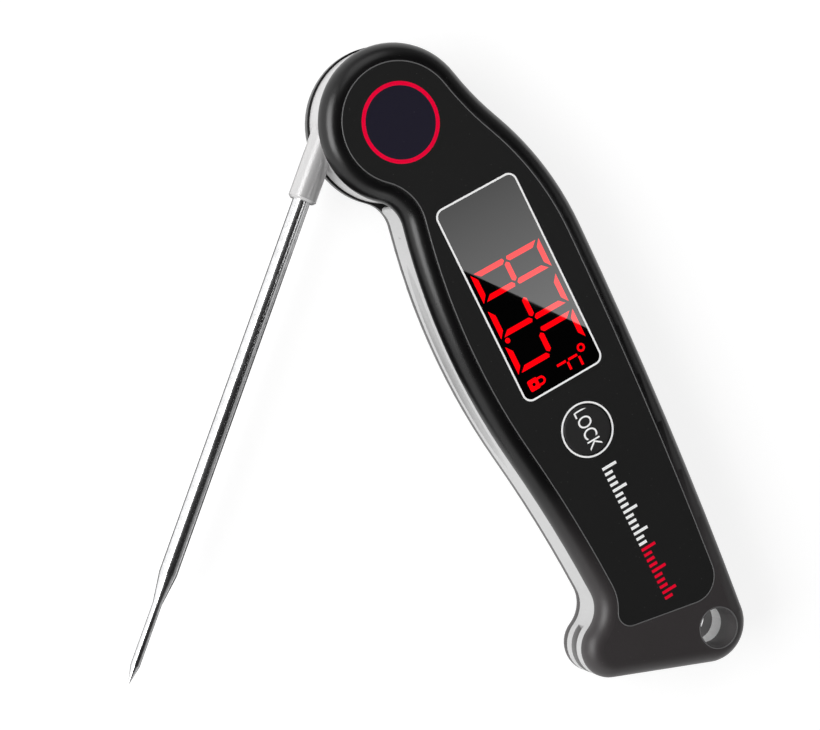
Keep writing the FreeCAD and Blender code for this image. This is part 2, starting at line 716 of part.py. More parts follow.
def front_cover():
    """Dark front shell: rounded rim, recess for the plate, bay, and posts for the board."""
    body = new_body("front_cover")
    outline = new_sketch(body, "front_cover_outline", front_z)
    add_outline(outline, case_outline())
    pad(body, outline, s.front_cover_height)
    round_edges(body, s.front_rim_radius, lambda edge: lies_at(edge, face_z.number))

    recess = new_sketch(body, "plate_recess", plate_z)
    add_outline(recess, plate_outline(s.plate_gap))
    pocket(body, recess, s.plate_thickness, upwards=True)
    bay = new_sketch(body, "front_bay", front_z)
    add_outline(bay, bay_outline())
    pocket(body, bay, bay_top_z - front_z, upwards=True)

    opening = new_sketch(body, "display_opening", bay_top_z)
    add_slab(opening, s.display_x, s.window_y + s.display_margin, display_length(),
             s.window_width - s.display_margin * 2, s.window_corner / 2)
    pocket(body, opening, plate_z - bay_top_z, upwards=True)
    well = new_sketch(body, "button_well", bay_top_z)
    add_circle(well, button_x, s.button_y, s.button_radius + s.button_flange + s.button_gap)
    pocket(body, well, plate_z - bay_top_z, upwards=True)

    seat = new_sketch(body, "front_axle_seat", front_z)
    add_circle(seat, 0, 0, s.axle_radius + s.axle_fit)
    pocket(body, seat, s.axle_front_seat, upwards=True)
    sink = new_sketch(body, "pivot_screw_sink", pivot_head_z)
    add_circle(sink, 0, 0, s.pivot_screw_head + s.screw_gap)
    pocket(body, sink, plate_z - pivot_head_z, upwards=True)
    web = new_sketch(body, "pivot_screw_hole", axle_top_z)
    add_circle(web, 0, 0, s.pivot_screw_shank + s.screw_gap)
    pocket(body, web, pivot_head_z - axle_top_z, upwards=True)
    threads = new_sketch(body, "front_screw_holes", front_z)
    for x, y in case_screws:
        add_circle(threads, x, y, s.screw_radius)
    pocket(body, threads, s.screw_bite, upwards=True)
    hanging_hole(body, front_z, s.front_cover_height)

    posts = new_sketch(body, "board_posts", board_top_z)
    for x, y in board_screws:
        add_circle(posts, x, y, s.stand_radius)
    pad(body, posts, bay_top_z - board_top_z)
    post_holes = new_sketch(body, "board_post_holes", board_top_z)
    for x, y in board_screws:
        add_circle(post_holes, x, y, s.screw_radius)
    pocket(body, post_holes, s.screw_bite, upwards=True)


def display_length():
    """Return the length of the display module, up to the window's far margin."""
    return s.window_x + s.window_length - s.display_margin - s.display_x


def hanging_hole(body, z, height):
    """Cut the hanging hole through one layer of the case."""
    hole = new_sketch(body, f"{body.Name}_hang_hole", z)
    heel = case_arcs()["heel"]
    add_circle(hole, heel.fixed_x + s.hang_hole_ahead, heel.fixed_y + s.hang_hole_rise, s.hang_hole_radius)
    pocket(body, hole, height, upwards=True)


def face_plate():
    """Thin dark plate that carries the window, the pivot cap and the button's hole."""
    body = new_body("face_plate")
    outline = new_sketch(body, "plate_edge", plate_z)
    add_outline(outline, plate_outline(quantity(0)))
    pad(body, outline, s.plate_thickness)
    holes = new_sketch(body, "plate_holes", plate_z)
    add_circle(holes, button_x, s.button_y, s.button_radius + s.button_gap)
    add_circle(holes, 0, 0, s.ring_radius + s.ring_width / 2)
    add_slab(holes, s.window_x, s.window_y, s.window_length, s.window_width, s.window_corner)
    pocket(body, holes, s.plate_thickness, upwards=True)


def display_window():
    """Clear window let into the face plate."""
    body = new_body("display_window")
    outline = new_sketch(body, "window_edge", plate_z)
    gap = s.plate_gap
    add_slab(outline, s.window_x + gap, s.window_y + gap, s.window_length - gap * 2,
             s.window_width - gap * 2, s.window_corner - gap)
    pad(body, outline, s.plate_thickness)


def pivot_trim():
    """Dark cap over the pivot and the red ring round it, both let into the face plate."""
    cap = new_body("pivot_cap")
    disc = new_sketch(cap, "cap_disc", plate_z)
    add_circle(disc, 0, 0, s.ring_radius - s.ring_width / 2)
    pad(cap, disc, s.plate_thickness)
    ring = new_body("accent_ring")
    band = new_sketch(ring, "ring_band", plate_z)
    add_circle(band, 0, 0, s.ring_radius + s.ring_width / 2)
    add_circle(band, 0, 0, s.ring_radius - s.ring_width / 2)
    pad(ring, band, s.plate_thickness)


def frame():
    """Light middle frame: bay, groove for the folded probe and slot for its tip."""
    body = new_body("frame")
    outline = new_sketch(body, "frame_outline", frame_z)
    add_outline(outline, frame_outline())
    pad(body, outline, frame_height)
    bay = new_sketch(body, "frame_bay", frame_z)
    add_outline(bay, bay_outline())
    pocket(body, bay, frame_height, upwards=True)

    holes = new_sketch(body, "frame_screw_holes", frame_z)
    for x, y in case_screws:
        add_circle(holes, x, y, s.screw_radius + s.screw_gap)
    pocket(body, holes, frame_height, upwards=True)
    hanging_hole(body, frame_z, frame_height)

    groove = new_sketch(body, "probe_groove", middle_z, -probe_offset)
    collar_end = s.collar_length + s.groove_gap
    collar_reach = s.collar_radius + s.groove_gap
    tube_reach = s.probe_radius + s.groove_gap
    add_polygon(groove, [(0, 0), (tip_slot_start, 0), (tip_slot_start, tube_reach),
                         (collar_end, tube_reach), (collar_end, collar_reach), (0, collar_reach)])
    turned_cut(body, groove, "H_Axis")
    slot = new_sketch(body, "tip_slot", middle_z - s.tip_slot_width / 2)
    top = s.needle_radius + s.groove_gap - probe_offset
    floor = -(probe_offset + s.foot_radius)
    far = s.foot_x + s.heel_ahead + s.heel_radius
    add_polygon(slot, [(tip_slot_start, floor), (far, floor), (far, top), (tip_slot_start, top)])
    pocket(body, slot, s.tip_slot_width, upwards=True)

    for name, z, upwards in (("front_seal_groove", front_z, False), ("back_seal_groove", frame_z, True)):
        seal = new_sketch(body, name, z)
        add_outline(seal, bay_outline(s.seal_inset))
        add_outline(seal, bay_outline(s.seal_inset + s.seal_width))
        pocket(body, seal, s.seal_depth, upwards=upwards)


def case_seals():
    """Soft seals between the frame and the two covers, round the bay."""
    for name, z in (("front_seal", front_z - s.seal_depth), ("back_seal", frame_z)):
        body = new_body(name)
        path = new_sketch(body, f"{name}_path", z)
        add_outline(path, bay_outline(s.seal_inset))
        add_outline(path, bay_outline(s.seal_inset + s.seal_width))
        pad(body, path, s.seal_depth)


def back_cover():
    """Dark back shell: rounded rim, bay, battery opening, screw sinks and magnet rims."""
    body = new_body("back_cover")
    outline = new_sketch(body, "back_cover_outline", quantity(0))
    add_outline(outline, case_outline())
    pad(body, outline, s.back_cover_height)
    round_edges(body, s.back_rim_radius, lambda edge: lies_at(edge, 0))
    bay = new_sketch(body, "back_bay", s.bay_floor)
    add_outline(bay, bay_outline())
    pocket(body, bay, frame_z - s.bay_floor, upwards=True)

    recess = new_sketch(body, "door_recess", quantity(0))
    add_slab(recess, door_x - s.door_overlap, door_y - s.door_overlap,
             door_length + s.door_overlap + s.door_tongue, door_width + s.door_overlap * 2, s.door_corner)
    pocket(body, recess, s.door_flange, upwards=True)
    opening = new_sketch(body, "door_opening", s.door_flange)
    add_slab(opening, door_x, door_y, door_length, door_width, s.door_corner)
    pocket(body, opening, s.bay_floor - s.door_flange, upwards=True)

    boss = new_sketch(body, "door_screw_boss", s.bay_floor)
    add_circle(boss, door_screw_x, s.cell_y, s.stand_radius)
    pad(body, boss, frame_z - s.bay_floor)
    bite = new_sketch(body, "door_screw_bite", s.door_flange)
    add_circle(bite, door_screw_x, s.cell_y, s.screw_radius)
    pocket(body, bite, s.screw_head_height + s.screw_bite, upwards=True)
    door_sink = new_sketch(body, "door_screw_sink", s.door_flange)
    add_circle(door_sink, door_screw_x, s.cell_y, s.screw_head_radius + s.screw_gap)
    pocket(body, door_sink, s.screw_sink + s.screw_head_height - s.door_flange, upwards=True)

    sinks = new_sketch(body, "screw_sinks", quantity(0))
    for x, y in case_screws:
        add_circle(sinks, x, y, s.screw_head_radius + s.screw_gap)
    pocket(body, sinks, s.screw_sink + s.screw_head_height, upwards=True)
    holes = new_sketch(body, "back_screw_holes", s.screw_sink + s.screw_head_height)
    for x, y in case_screws:
        add_circle(holes, x, y, s.screw_radius + s.screw_gap)
    pocket(body, holes, frame_z, upwards=True)
    seat = new_sketch(body, "back_axle_seat", axle_z)
    add_circle(seat, 0, 0, s.axle_radius + s.axle_fit)
    pocket(body, seat, s.axle_back_seat, upwards=True)
    hanging_hole(body, quantity(0), s.back_cover_height)

    rims = new_sketch(body, "magnet_rims", s.bay_floor)
    for x in magnet_places():
        add_circle(rims, x, s.magnet_y, s.magnet_radius + s.plate_gap + s.magnet_rib)
        add_circle(rims, x, s.magnet_y, s.magnet_radius + s.plate_gap)
    pad(body, rims, s.magnet_height)


def magnet_places():
    """Return the magnets' places along the case."""
    return [magnet_x, magnet_x + s.magnet_pitch]


def battery_door():
    """Door that lies flush in the back, held by one screw."""
    body = new_body("battery_door")
    gap = s.door_gap
    flange = new_sketch(body, "door_flange_edge", quantity(0))
    add_slab(flange, door_x - s.door_overlap + gap, door_y - s.door_overlap + gap,
             door_length + s.door_overlap + s.door_tongue - gap * 2,
             door_width + s.door_overlap * 2 - gap * 2, s.door_corner - gap)
    pad(body, flange, s.door_flange)
    plug = new_sketch(body, "door_plug", s.door_flange)
    add_slab(plug, door_x + gap, door_y + gap, door_length - gap * 2, door_width - gap * 2,
             s.door_corner - gap)
    pad(body, plug, s.bay_floor - s.door_flange)
    hole = new_sketch(body, "door_screw_hole", quantity(0))
    add_circle(hole, door_screw_x, s.cell_y, s.screw_head_radius + s.screw_gap)
    pocket(body, hole, s.bay_floor, upwards=True)


def screws():
    """Case, door, board and pivot screws, each with a hexagon recess."""
    head_z = s.screw_sink
    shank = front_z + s.screw_bite - head_z - s.screw_head_height
    drive = s.screw_head_height * 0.7
    case = [screw(f"case_screw_{i}", x, y, head_z, shank, s.screw_head_radius, s.screw_radius, drive)
            for i, (x, y) in enumerate(case_screws)]
    joined("case_screws", case)
    door = screw("door_fastener", door_screw_x, s.cell_y, head_z,
                 s.screw_bite + s.door_flange - s.screw_sink, s.screw_head_radius, s.screw_radius, drive)
    joined("door_screw", [door])
    pivot_shank = pivot_head_z - axle_top_z + s.axle_threads
    head = cylinder("pivot_screw_head", (0, 0, pivot_head_z), s.pivot_screw_head, s.screw_head_height)
    stem = cylinder("pivot_screw_stem", (0, 0, pivot_head_z - pivot_shank), s.pivot_screw_shank,
                    pivot_shank)
    blank = doc.addObject("Part::MultiFuse", "pivot_screw_blank")
    blank.Shapes = [head, stem]
    recess = primitive("Part::Prism", "pivot_screw_recess",
                       (0, 0, pivot_head_z + s.screw_head_height - drive),
                       Circumradius=s.screw_drive * 2, Height=drive)
    joined("pivot_screw", [difference("pivot_fastener", blank, recess)])
    lower = board_z - s.screw_head_height
    board = [screw(f"board_screw_{i}", x, y, lower, s.board_thickness + s.screw_bite,
                   s.screw_head_radius, s.screw_radius, drive) for i, (x, y) in enumerate(board_screws)]
    joined("board_screws", board)


# ---- pivot, hub and probe ----

def pivot():
    """Axle that spans the two covers, threaded for the pivot screw, and the friction washer."""
    shaft = cylinder("axle_shaft", (0, 0, axle_z), s.axle_radius, axle_top_z - axle_z)
    bore = cylinder("axle_bore", (0, 0, axle_top_z - s.axle_threads), s.pivot_screw_shank, s.axle_threads)
    joined("pivot_axle", [difference("axle", shaft, bore)])
    disc = cylinder("washer_disc", (0, 0, frame_z), s.washer_radius, s.washer_height)
    hole = cylinder("washer_hole", (0, 0, frame_z), s.axle_radius + s.axle_fit, s.washer_height)
    joined("friction_washer", [difference("washer", disc, hole)])


def hub():
    """Turning hub with its collar: bore, O-ring grooves, tube socket and magnet pocket."""
    body = new_body("hub")
    disc = new_sketch(body, "hub_disc", hub_z)
    add_circle(disc, 0, 0, hub_radius)
    pad(body, disc, hub_height)
    round_edges(body, s.hub_rim, lambda edge: lies_at(edge, hub_z.number)
                or lies_at(edge, (hub_z + hub_height).number))
    collar = new_sketch(body, "collar_profile", middle_z, -probe_offset)
    mouth = s.collar_length
    edge = s.collar_rounding
    add_polygon(collar, [(0, 0), (mouth, 0), (mouth, s.collar_radius - edge),
                         (mouth - edge, s.collar_radius), (0, s.collar_radius)])
    turned(body, collar, "H_Axis")

    bore = new_sketch(body, "hub_bore", hub_z)
    add_circle(bore, 0, 0, s.bush_radius)
    pocket(body, bore, hub_height, upwards=True)
    for name, z, upwards in (("back_ring_groove", hub_z, True),
                             ("front_ring_groove", hub_z + hub_height, False)):
        ring = new_sketch(body, name, z)
        width = s.ring_seal_cord + s.ring_groove_gap
        add_circle(ring, 0, 0, s.ring_seal_radius + width)
        add_circle(ring, 0, 0, s.ring_seal_radius - width)
        pocket(body, ring, width * 2, upwards=upwards)
    socket = new_sketch(body, "tube_socket", middle_z, -probe_offset)
    add_polygon(socket, [(s.probe_seat, 0), (mouth, 0), (mouth, s.probe_radius),
                         (s.probe_seat, s.probe_radius)])
    turned_cut(body, socket, "H_Axis")
    magnet = new_sketch(body, "hub_magnet_pocket", hub_z)
    add_circle(magnet, s.hub_magnet_ring, 0, s.hub_magnet_radius)
    pocket(body, magnet, s.hub_magnet_height, upwards=True)
    swing(body)


def hub_fittings():
    """What turns with the hub: bush, two O-rings and the magnet that the case senses."""
    outer = cylinder("bush_outer", (0, 0, hub_z), s.bush_radius, hub_height)
    inner = cylinder("bush_inner", (0, 0, hub_z), s.axle_radius + s.running_fit, hub_height)
    bush = joined("hub_bush", [difference("bush", outer, inner)])
    swing(bush)
    lift = s.ring_groove_gap + s.ring_seal_cord
    for label, z in (("back_ring_seal", hub_z + lift), ("front_ring_seal", hub_z + hub_height - lift)):
        ring = primitive("Part::Torus", f"{label}_cord", (0, 0, z),
                         Radius1=s.ring_seal_radius, Radius2=s.ring_seal_cord)
        joined(label, [ring])
    magnet = new_body("hub_magnet")
    disc = new_sketch(magnet, "hub_magnet_disc", hub_z)
    add_circle(disc, s.hub_magnet_ring, 0, s.hub_magnet_radius)
    pad(magnet, disc, s.hub_magnet_height)
    swing(magnet)


def probe():
    """Steel tube drawn down to a needle, with the sensor bead and its leads inside."""
    tube = new_body("probe_tube")
    profile = new_sketch(tube, "tube_profile", middle_z, -probe_offset)
    far = probe_length
    wall = s.probe_wall
    thick, thin = s.probe_radius, s.needle_radius
    slope_start, slope_end = far - s.taper_start, far - s.taper_end
    bore_end = far - s.point_length
    add_polygon(profile, [
        (s.probe_seat, thick - wall), (slope_start, thick - wall), (slope_end, thin - wall),
        (bore_end, thin - wall), (bore_end, 0), (far, 0), (far, s.point_radius),
        (bore_end, thin), (slope_end, thin), (slope_start, thick), (s.probe_seat, thick)])
    turned(tube, profile, "H_Axis")
    swing(tube)

    bead = new_body("temperature_sensor")
    bead_profile = new_sketch(bead, "bead_profile", middle_z, -probe_offset)
    start = bore_end - s.sensor_length
    add_polygon(bead_profile, [(start, 0), (bore_end, 0), (bore_end, s.sensor_radius),
                               (start, s.sensor_radius)])
    turned(bead, bead_profile, "H_Axis")
    swing(bead)

    leads = new_body("sensor_leads")
    lead_profile = new_sketch(leads, "lead_profile", middle_z, -probe_offset)
    add_polygon(lead_profile, [(s.probe_seat, 0), (start, 0), (start, s.lead_radius),
                               (s.probe_seat, s.lead_radius)])
    turned(leads, lead_profile, "H_Axis")
    swing(leads)


# ---- electronics, button and battery ----

def button():
    """Hold button: cap, flange under the plate and stem."""
    body = new_body("hold_button")
    flange_z = plate_z - s.button_flange_height
    flange = new_sketch(body, "button_flange_edge", flange_z)
    add_circle(flange, button_x, s.button_y, s.button_radius + s.button_flange)
    pad(body, flange, s.button_flange_height)
    cap = new_sketch(body, "button_cap", plate_z)
    add_circle(cap, button_x, s.button_y, s.button_radius)
    pad(body, cap, s.plate_thickness + s.button_rise)
    stem = new_sketch(body, "button_stem", flange_z - s.button_stem_length)
    add_circle(stem, button_x, s.button_y, s.button_stem_radius)
    pad(body, stem, s.button_stem_length)


def circuit_board():
    """Board in the shape of the bay, with clearance round its screws and the pivot's end."""
    body = new_body("circuit_board")
    outline = new_sketch(body, "board_outline", board_z)
    add_outline(outline, bay_outline(-s.board_gap))
    pad(body, outline, s.board_thickness)
    holes = new_sketch(body, "board_holes", board_z)
    for x, y in board_screws:
        add_circle(holes, x, y, s.screw_radius + s.screw_gap)
    pocket(body, holes, s.board_thickness, upwards=True)


def board_parts():
    """Display module, press switch, processor and sensors, soldered to the board."""
    side = s.display_side_gap
    module = box("display_block", (s.display_x + side, s.window_y + s.display_margin + side, board_top_z),
                 display_length() - side * 2, s.window_width - (s.display_margin + side) * 2,
                 plate_z - s.display_gap - board_top_z)
    joined("display_module", [module])
    press_z = plate_z - s.button_flange_height - s.button_stem_length - s.button_travel
    half = s.switch_size / 2
    base = box("switch_base", (button_x - half, s.button_y - half, board_top_z),
               s.switch_size, s.switch_size, s.switch_height)
    plunger = cylinder("switch_plunger", (button_x, s.button_y, board_top_z), s.switch_plunger,
                       press_z - board_top_z)
    joined("press_switch", [base, plunger])
    chips = (("processor", chip_x, s.chip_y, s.chip_size, board_top_z),
             ("motion_sensor", chip_x + s.motion_ahead, s.chip_y, s.motion_size, board_top_z),
             ("fold_sensor", s.fold_sensor_x, s.fold_sensor_y, s.motion_size, board_z - s.chip_height))
    for label, x, y, size, z in chips:
        joined(label, [box(f"{label}_body", (x - size / 2, y - size / 2, z), size, size, s.chip_height)])


def battery():
    """One AAA cell lying on the door, between a leaf contact and a flat one on the board."""
    can = primitive("Part::Cylinder", "cell_can", (s.cell_x, s.cell_y, cell_z),
                    Radius=s.cell_radius, Height=s.cell_length)
    nub = primitive("Part::Cylinder", "cell_nub", (s.cell_x + s.cell_length, s.cell_y, cell_z),
                    Radius=s.cell_nub_radius, Height=s.cell_nub)
    for part in (can, nub):
        part.Placement.Rotation = FreeCAD.Rotation(Vector(0, 1, 0), 90)
    joined("battery_cell", [can, nub])

    thickness = s.contact_thickness
    side = s.cell_y - s.contact_width / 2
    height = board_z - s.bay_floor - s.door_gap
    floor = s.bay_floor + s.door_gap
    positive = box("positive_plate", (s.cell_x + s.cell_length + s.cell_nub, side, floor),
                   thickness, s.contact_width, height)
    joined("positive_contact", [positive])
    negative = new_body("negative_contact")
    leaf = new_sketch(negative, "leaf_profile", -(s.cell_y + s.contact_width / 2), plane="XZ_Plane")
    back = s.cell_x - s.contact_spring_depth
    low = cell_z - s.cell_radius / 2
    high = cell_z + s.cell_radius / 2
    add_polygon(leaf, [
        (back, floor), (back, low), (s.cell_x - thickness, cell_z), (back, high), (back, board_z),
        (back - thickness, board_z), (back - thickness, floor)])
    pad(negative, leaf, s.contact_width)


def magnets():
    """Two disc magnets that hold the thermometer to a steel door."""
    discs = [cylinder(f"magnet_{i}", (x, s.magnet_y, s.bay_floor), s.magnet_radius, s.magnet_height)
             for i, x in enumerate(magnet_places())]
    joined("holding_magnets", discs)


def check_and_write():
    """Check every object and shape, then write one STEP file for each node."""
    doc.recompute()
    for item in doc.Objects:
        if "Invalid" in item.State or "Error" in item.State:
            raise RuntimeError(f"{item.Label}: {item.State}")
    for node in nodes:
        shape = node.Shape
        if shape.isNull() or not shape.isValid() or not shape.Solids:
            raise RuntimeError(f"{node.Label} has no valid solid")
    os.makedirs("parts", exist_ok=True)
    for node in nodes:
        node.Shape.exportStep(f"parts/{node.Label}.step")
        print(f"{node.Label}: {len(node.Shape.Solids)} solid(s), {node.Shape.Volume:.1f} mm3")


front_cover()
face_plate()
display_window()
pivot_trim()
frame()
case_seals()
back_cover()
battery_door()
screws()
pivot()
hub()
hub_fittings()
probe()
button()
circuit_board()
board_parts()
battery()
magnets()
check_and_write()
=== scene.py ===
"""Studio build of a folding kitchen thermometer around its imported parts.

Lengths are in metres. +X runs from the pivot to the foot, +Z comes out of the display face, and the
origin is on the pivot's axis at the flat back. Every added piece rides on the case or on the button.
"""
import json
import logging
import math
from dataclasses import dataclass
from enum import Enum
from typing import Iterable, Mapping, Sequence

import bmesh
import bpy
from bpy.types import Material, Mesh, Node, NodeSocket, NodeTree, Object
from mathutils import Matrix, Vector
from mathutils.bvhtree import BVHTree


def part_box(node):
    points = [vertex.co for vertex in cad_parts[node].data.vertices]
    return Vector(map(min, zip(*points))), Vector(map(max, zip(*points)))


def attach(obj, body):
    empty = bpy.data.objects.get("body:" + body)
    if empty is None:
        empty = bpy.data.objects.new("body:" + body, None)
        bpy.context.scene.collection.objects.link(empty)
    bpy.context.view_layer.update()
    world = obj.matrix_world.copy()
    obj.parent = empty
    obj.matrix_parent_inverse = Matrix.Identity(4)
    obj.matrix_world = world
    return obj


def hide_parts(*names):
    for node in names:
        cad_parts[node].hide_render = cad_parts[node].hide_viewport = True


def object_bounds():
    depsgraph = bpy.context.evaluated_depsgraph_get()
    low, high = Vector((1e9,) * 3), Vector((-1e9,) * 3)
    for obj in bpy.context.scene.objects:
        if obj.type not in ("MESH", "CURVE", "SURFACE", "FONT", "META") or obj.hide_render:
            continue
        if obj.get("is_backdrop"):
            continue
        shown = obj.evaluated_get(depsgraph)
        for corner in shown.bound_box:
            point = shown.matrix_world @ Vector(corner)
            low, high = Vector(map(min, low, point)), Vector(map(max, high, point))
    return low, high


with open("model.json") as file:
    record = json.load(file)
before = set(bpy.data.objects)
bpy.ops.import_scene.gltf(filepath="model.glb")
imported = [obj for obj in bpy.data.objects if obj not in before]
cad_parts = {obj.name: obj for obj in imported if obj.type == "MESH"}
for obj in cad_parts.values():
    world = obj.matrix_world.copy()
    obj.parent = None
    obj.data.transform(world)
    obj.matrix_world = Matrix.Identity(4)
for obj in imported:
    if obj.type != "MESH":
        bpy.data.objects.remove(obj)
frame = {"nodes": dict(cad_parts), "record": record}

LOG = logging.getLogger("thermometer")
MM = 0.001
Colour = tuple[float, float, float]
Flat = tuple[float, float]
Feed = Mapping[str | int, object]
Sockets = Mapping[str, NodeSocket]
SOCKET_KINDS = {bool: "Bool", int: "Int", float: "Float"}
PROBE_TURN = math.radians(48.2)


class Body(Enum):
    """Bodies that carry added pieces."""

    CASE = "case"
    BUTTON = "button"


# ---- node trees


def grey(value: float) -> Colour:
    """Colour with equal parts."""
    return (value, value, value)


def opaque(colour: object) -> object:
    """Gives a plain colour its alpha and leaves a socket as it is."""
    return (*colour, 1.0) if isinstance(colour, tuple) else colour


class Desk:
    """Adds and joins the nodes of one tree."""

    def __init__(self, tree: NodeTree) -> None:
        """Keeps the tree that the nodes go into."""
        self.tree = tree

    def feed(self, node: Node, inputs: Feed) -> Node:
        """Sets or links a node's inputs.

        Args:
            node: the node whose inputs are fed.
            inputs: a socket to link or a plain value to set, by the input's name or place.

        Returns:
            The same node.
        """
        for key, value in inputs.items():
            if isinstance(value, NodeSocket):
                self.tree.links.new(value, node.inputs[key])
            else:
                node.inputs[key].default_value = value
        return node

    def add(self, kind: str, inputs: Feed | None = None, **settings: object) -> Node:
        """Adds a node and feeds it.

        Args:
            kind: Blender's name of the node type.
            inputs: what its inputs are fed.
            settings: values of the node's own properties.

        Returns:
            The new node.
        """
        node = self.tree.nodes.new(kind)
        for name, value in settings.items():
            setattr(node, name, value)
        return self.feed(node, inputs or {})

    def math(self, operation: str, *operands: object, clamp: bool = False) -> NodeSocket:
        """Adds a Math node.

        Args:
            operation: the node's operation.
            operands: sockets or numbers, in order.
            clamp: True holds the result between 0 and 1.

        Returns:
            The node's output.
        """
        inputs = dict(enumerate(operands))
        return self.add("ShaderNodeMath", inputs, operation=operation, use_clamp=clamp).outputs[0]

    def blend(self, mask: object, low: object, high: object, mode: str = "MIX") -> NodeSocket:
        """Mixes two colours by a mask.

        Args:
            mask: a socket or number from 0 to 1.
            low: the colour, or its socket, where the mask is 0.
            high: the colour, or its socket, where the mask is 1.
            mode: the node's way of mixing.

        Returns:
            The mixed colour.
        """
        inputs = {0: mask, 6: opaque(low), 7: opaque(high)}
        return self.add("ShaderNodeMix", inputs, data_type="RGBA", blend_type=mode).outputs[2]

    def spread(self, value: NodeSocket, low: float, high: float, to_low: float = 0.0,
               to_high: float = 1.0) -> NodeSocket:
        """Maps a value from one range to another, held at its ends.

        Args:
            value: the socket that is mapped.
            low: value that gives to_low.
            high: value that gives to_high.
            to_low: result at low.
            to_high: result at high.

        Returns:
            The mapped value.
        """
        inputs = dict(enumerate((value, low, high, to_low, to_high)))
        return self.add("ShaderNodeMapRange", inputs).outputs[0]

    def noise(self, vector: NodeSocket, scale: object, detail: float) -> NodeSocket:
        """Adds a noise texture and returns its value."""
        return self.add("ShaderNodeTexNoise", {"Vector": vector, "Scale": scale, "Detail": detail}).outputs[0]

    def bump(self, height: NodeSocket, depth: float) -> NodeSocket:
        """Turns a height into a normal."""
        return self.add("ShaderNodeBump", {"Strength": 1.0, "Distance": depth, "Height": height}).outputs[0]

    def here(self) -> NodeSocket:
        """Place in the object's own coordinates."""
        return self.add("ShaderNodeTexCoord").outputs["Object"]

    def axis(self, vector: NodeSocket, place: int) -> NodeSocket:
        """One part of a vector, counted from 0."""
        return self.add("ShaderNodeSeparateXYZ", {0: vector}).outputs[place]

    def vector(self, *parts: object) -> NodeSocket:
        """Vector made of numbers or sockets."""
        return self.add("ShaderNodeCombineXYZ", dict(enumerate(parts))).outputs[0]


def new_group(kind: str, name: str, takes: Feed, gives: Mapping[str, str]) -> tuple[Desk, Sockets, Node]:
    """Starts a node group with its sockets.

    Args:
        kind: "Shader" or "Geometry".
        name: the group's name.
        takes: each input with its default, or with its kind where it has none.
        gives: each output with its kind.

    Returns:
        The desk for its nodes, the sockets that bring its inputs, and its output node.
    """
    tree = bpy.data.node_groups.new(name, kind + "NodeTree")
    for side, sockets in (("INPUT", takes), ("OUTPUT", gives)):
        for label, value in sockets.items():
            has_default = not isinstance(value, str)
            ending = SOCKET_KINDS[type(value)] if has_default else value
            socket = tree.interface.new_socket(name=label, in_out=side, socket_type="NodeSocket" + ending)
            if has_default:
                socket.default_value = value
    desk = Desk(tree)
    return desk, desk.add("NodeGroupInput").outputs, desk.add("NodeGroupOutput")


class Effect(Enum):
    """Surface effects that several finishes share."""

    GRAIN = "moulded_grain"
    EDGE = "edge_polish"
    HANDLING = "handling_marks"
    BRUSH = "brushed_lines"
    PAINTED_SHADE = "crevice_shade"


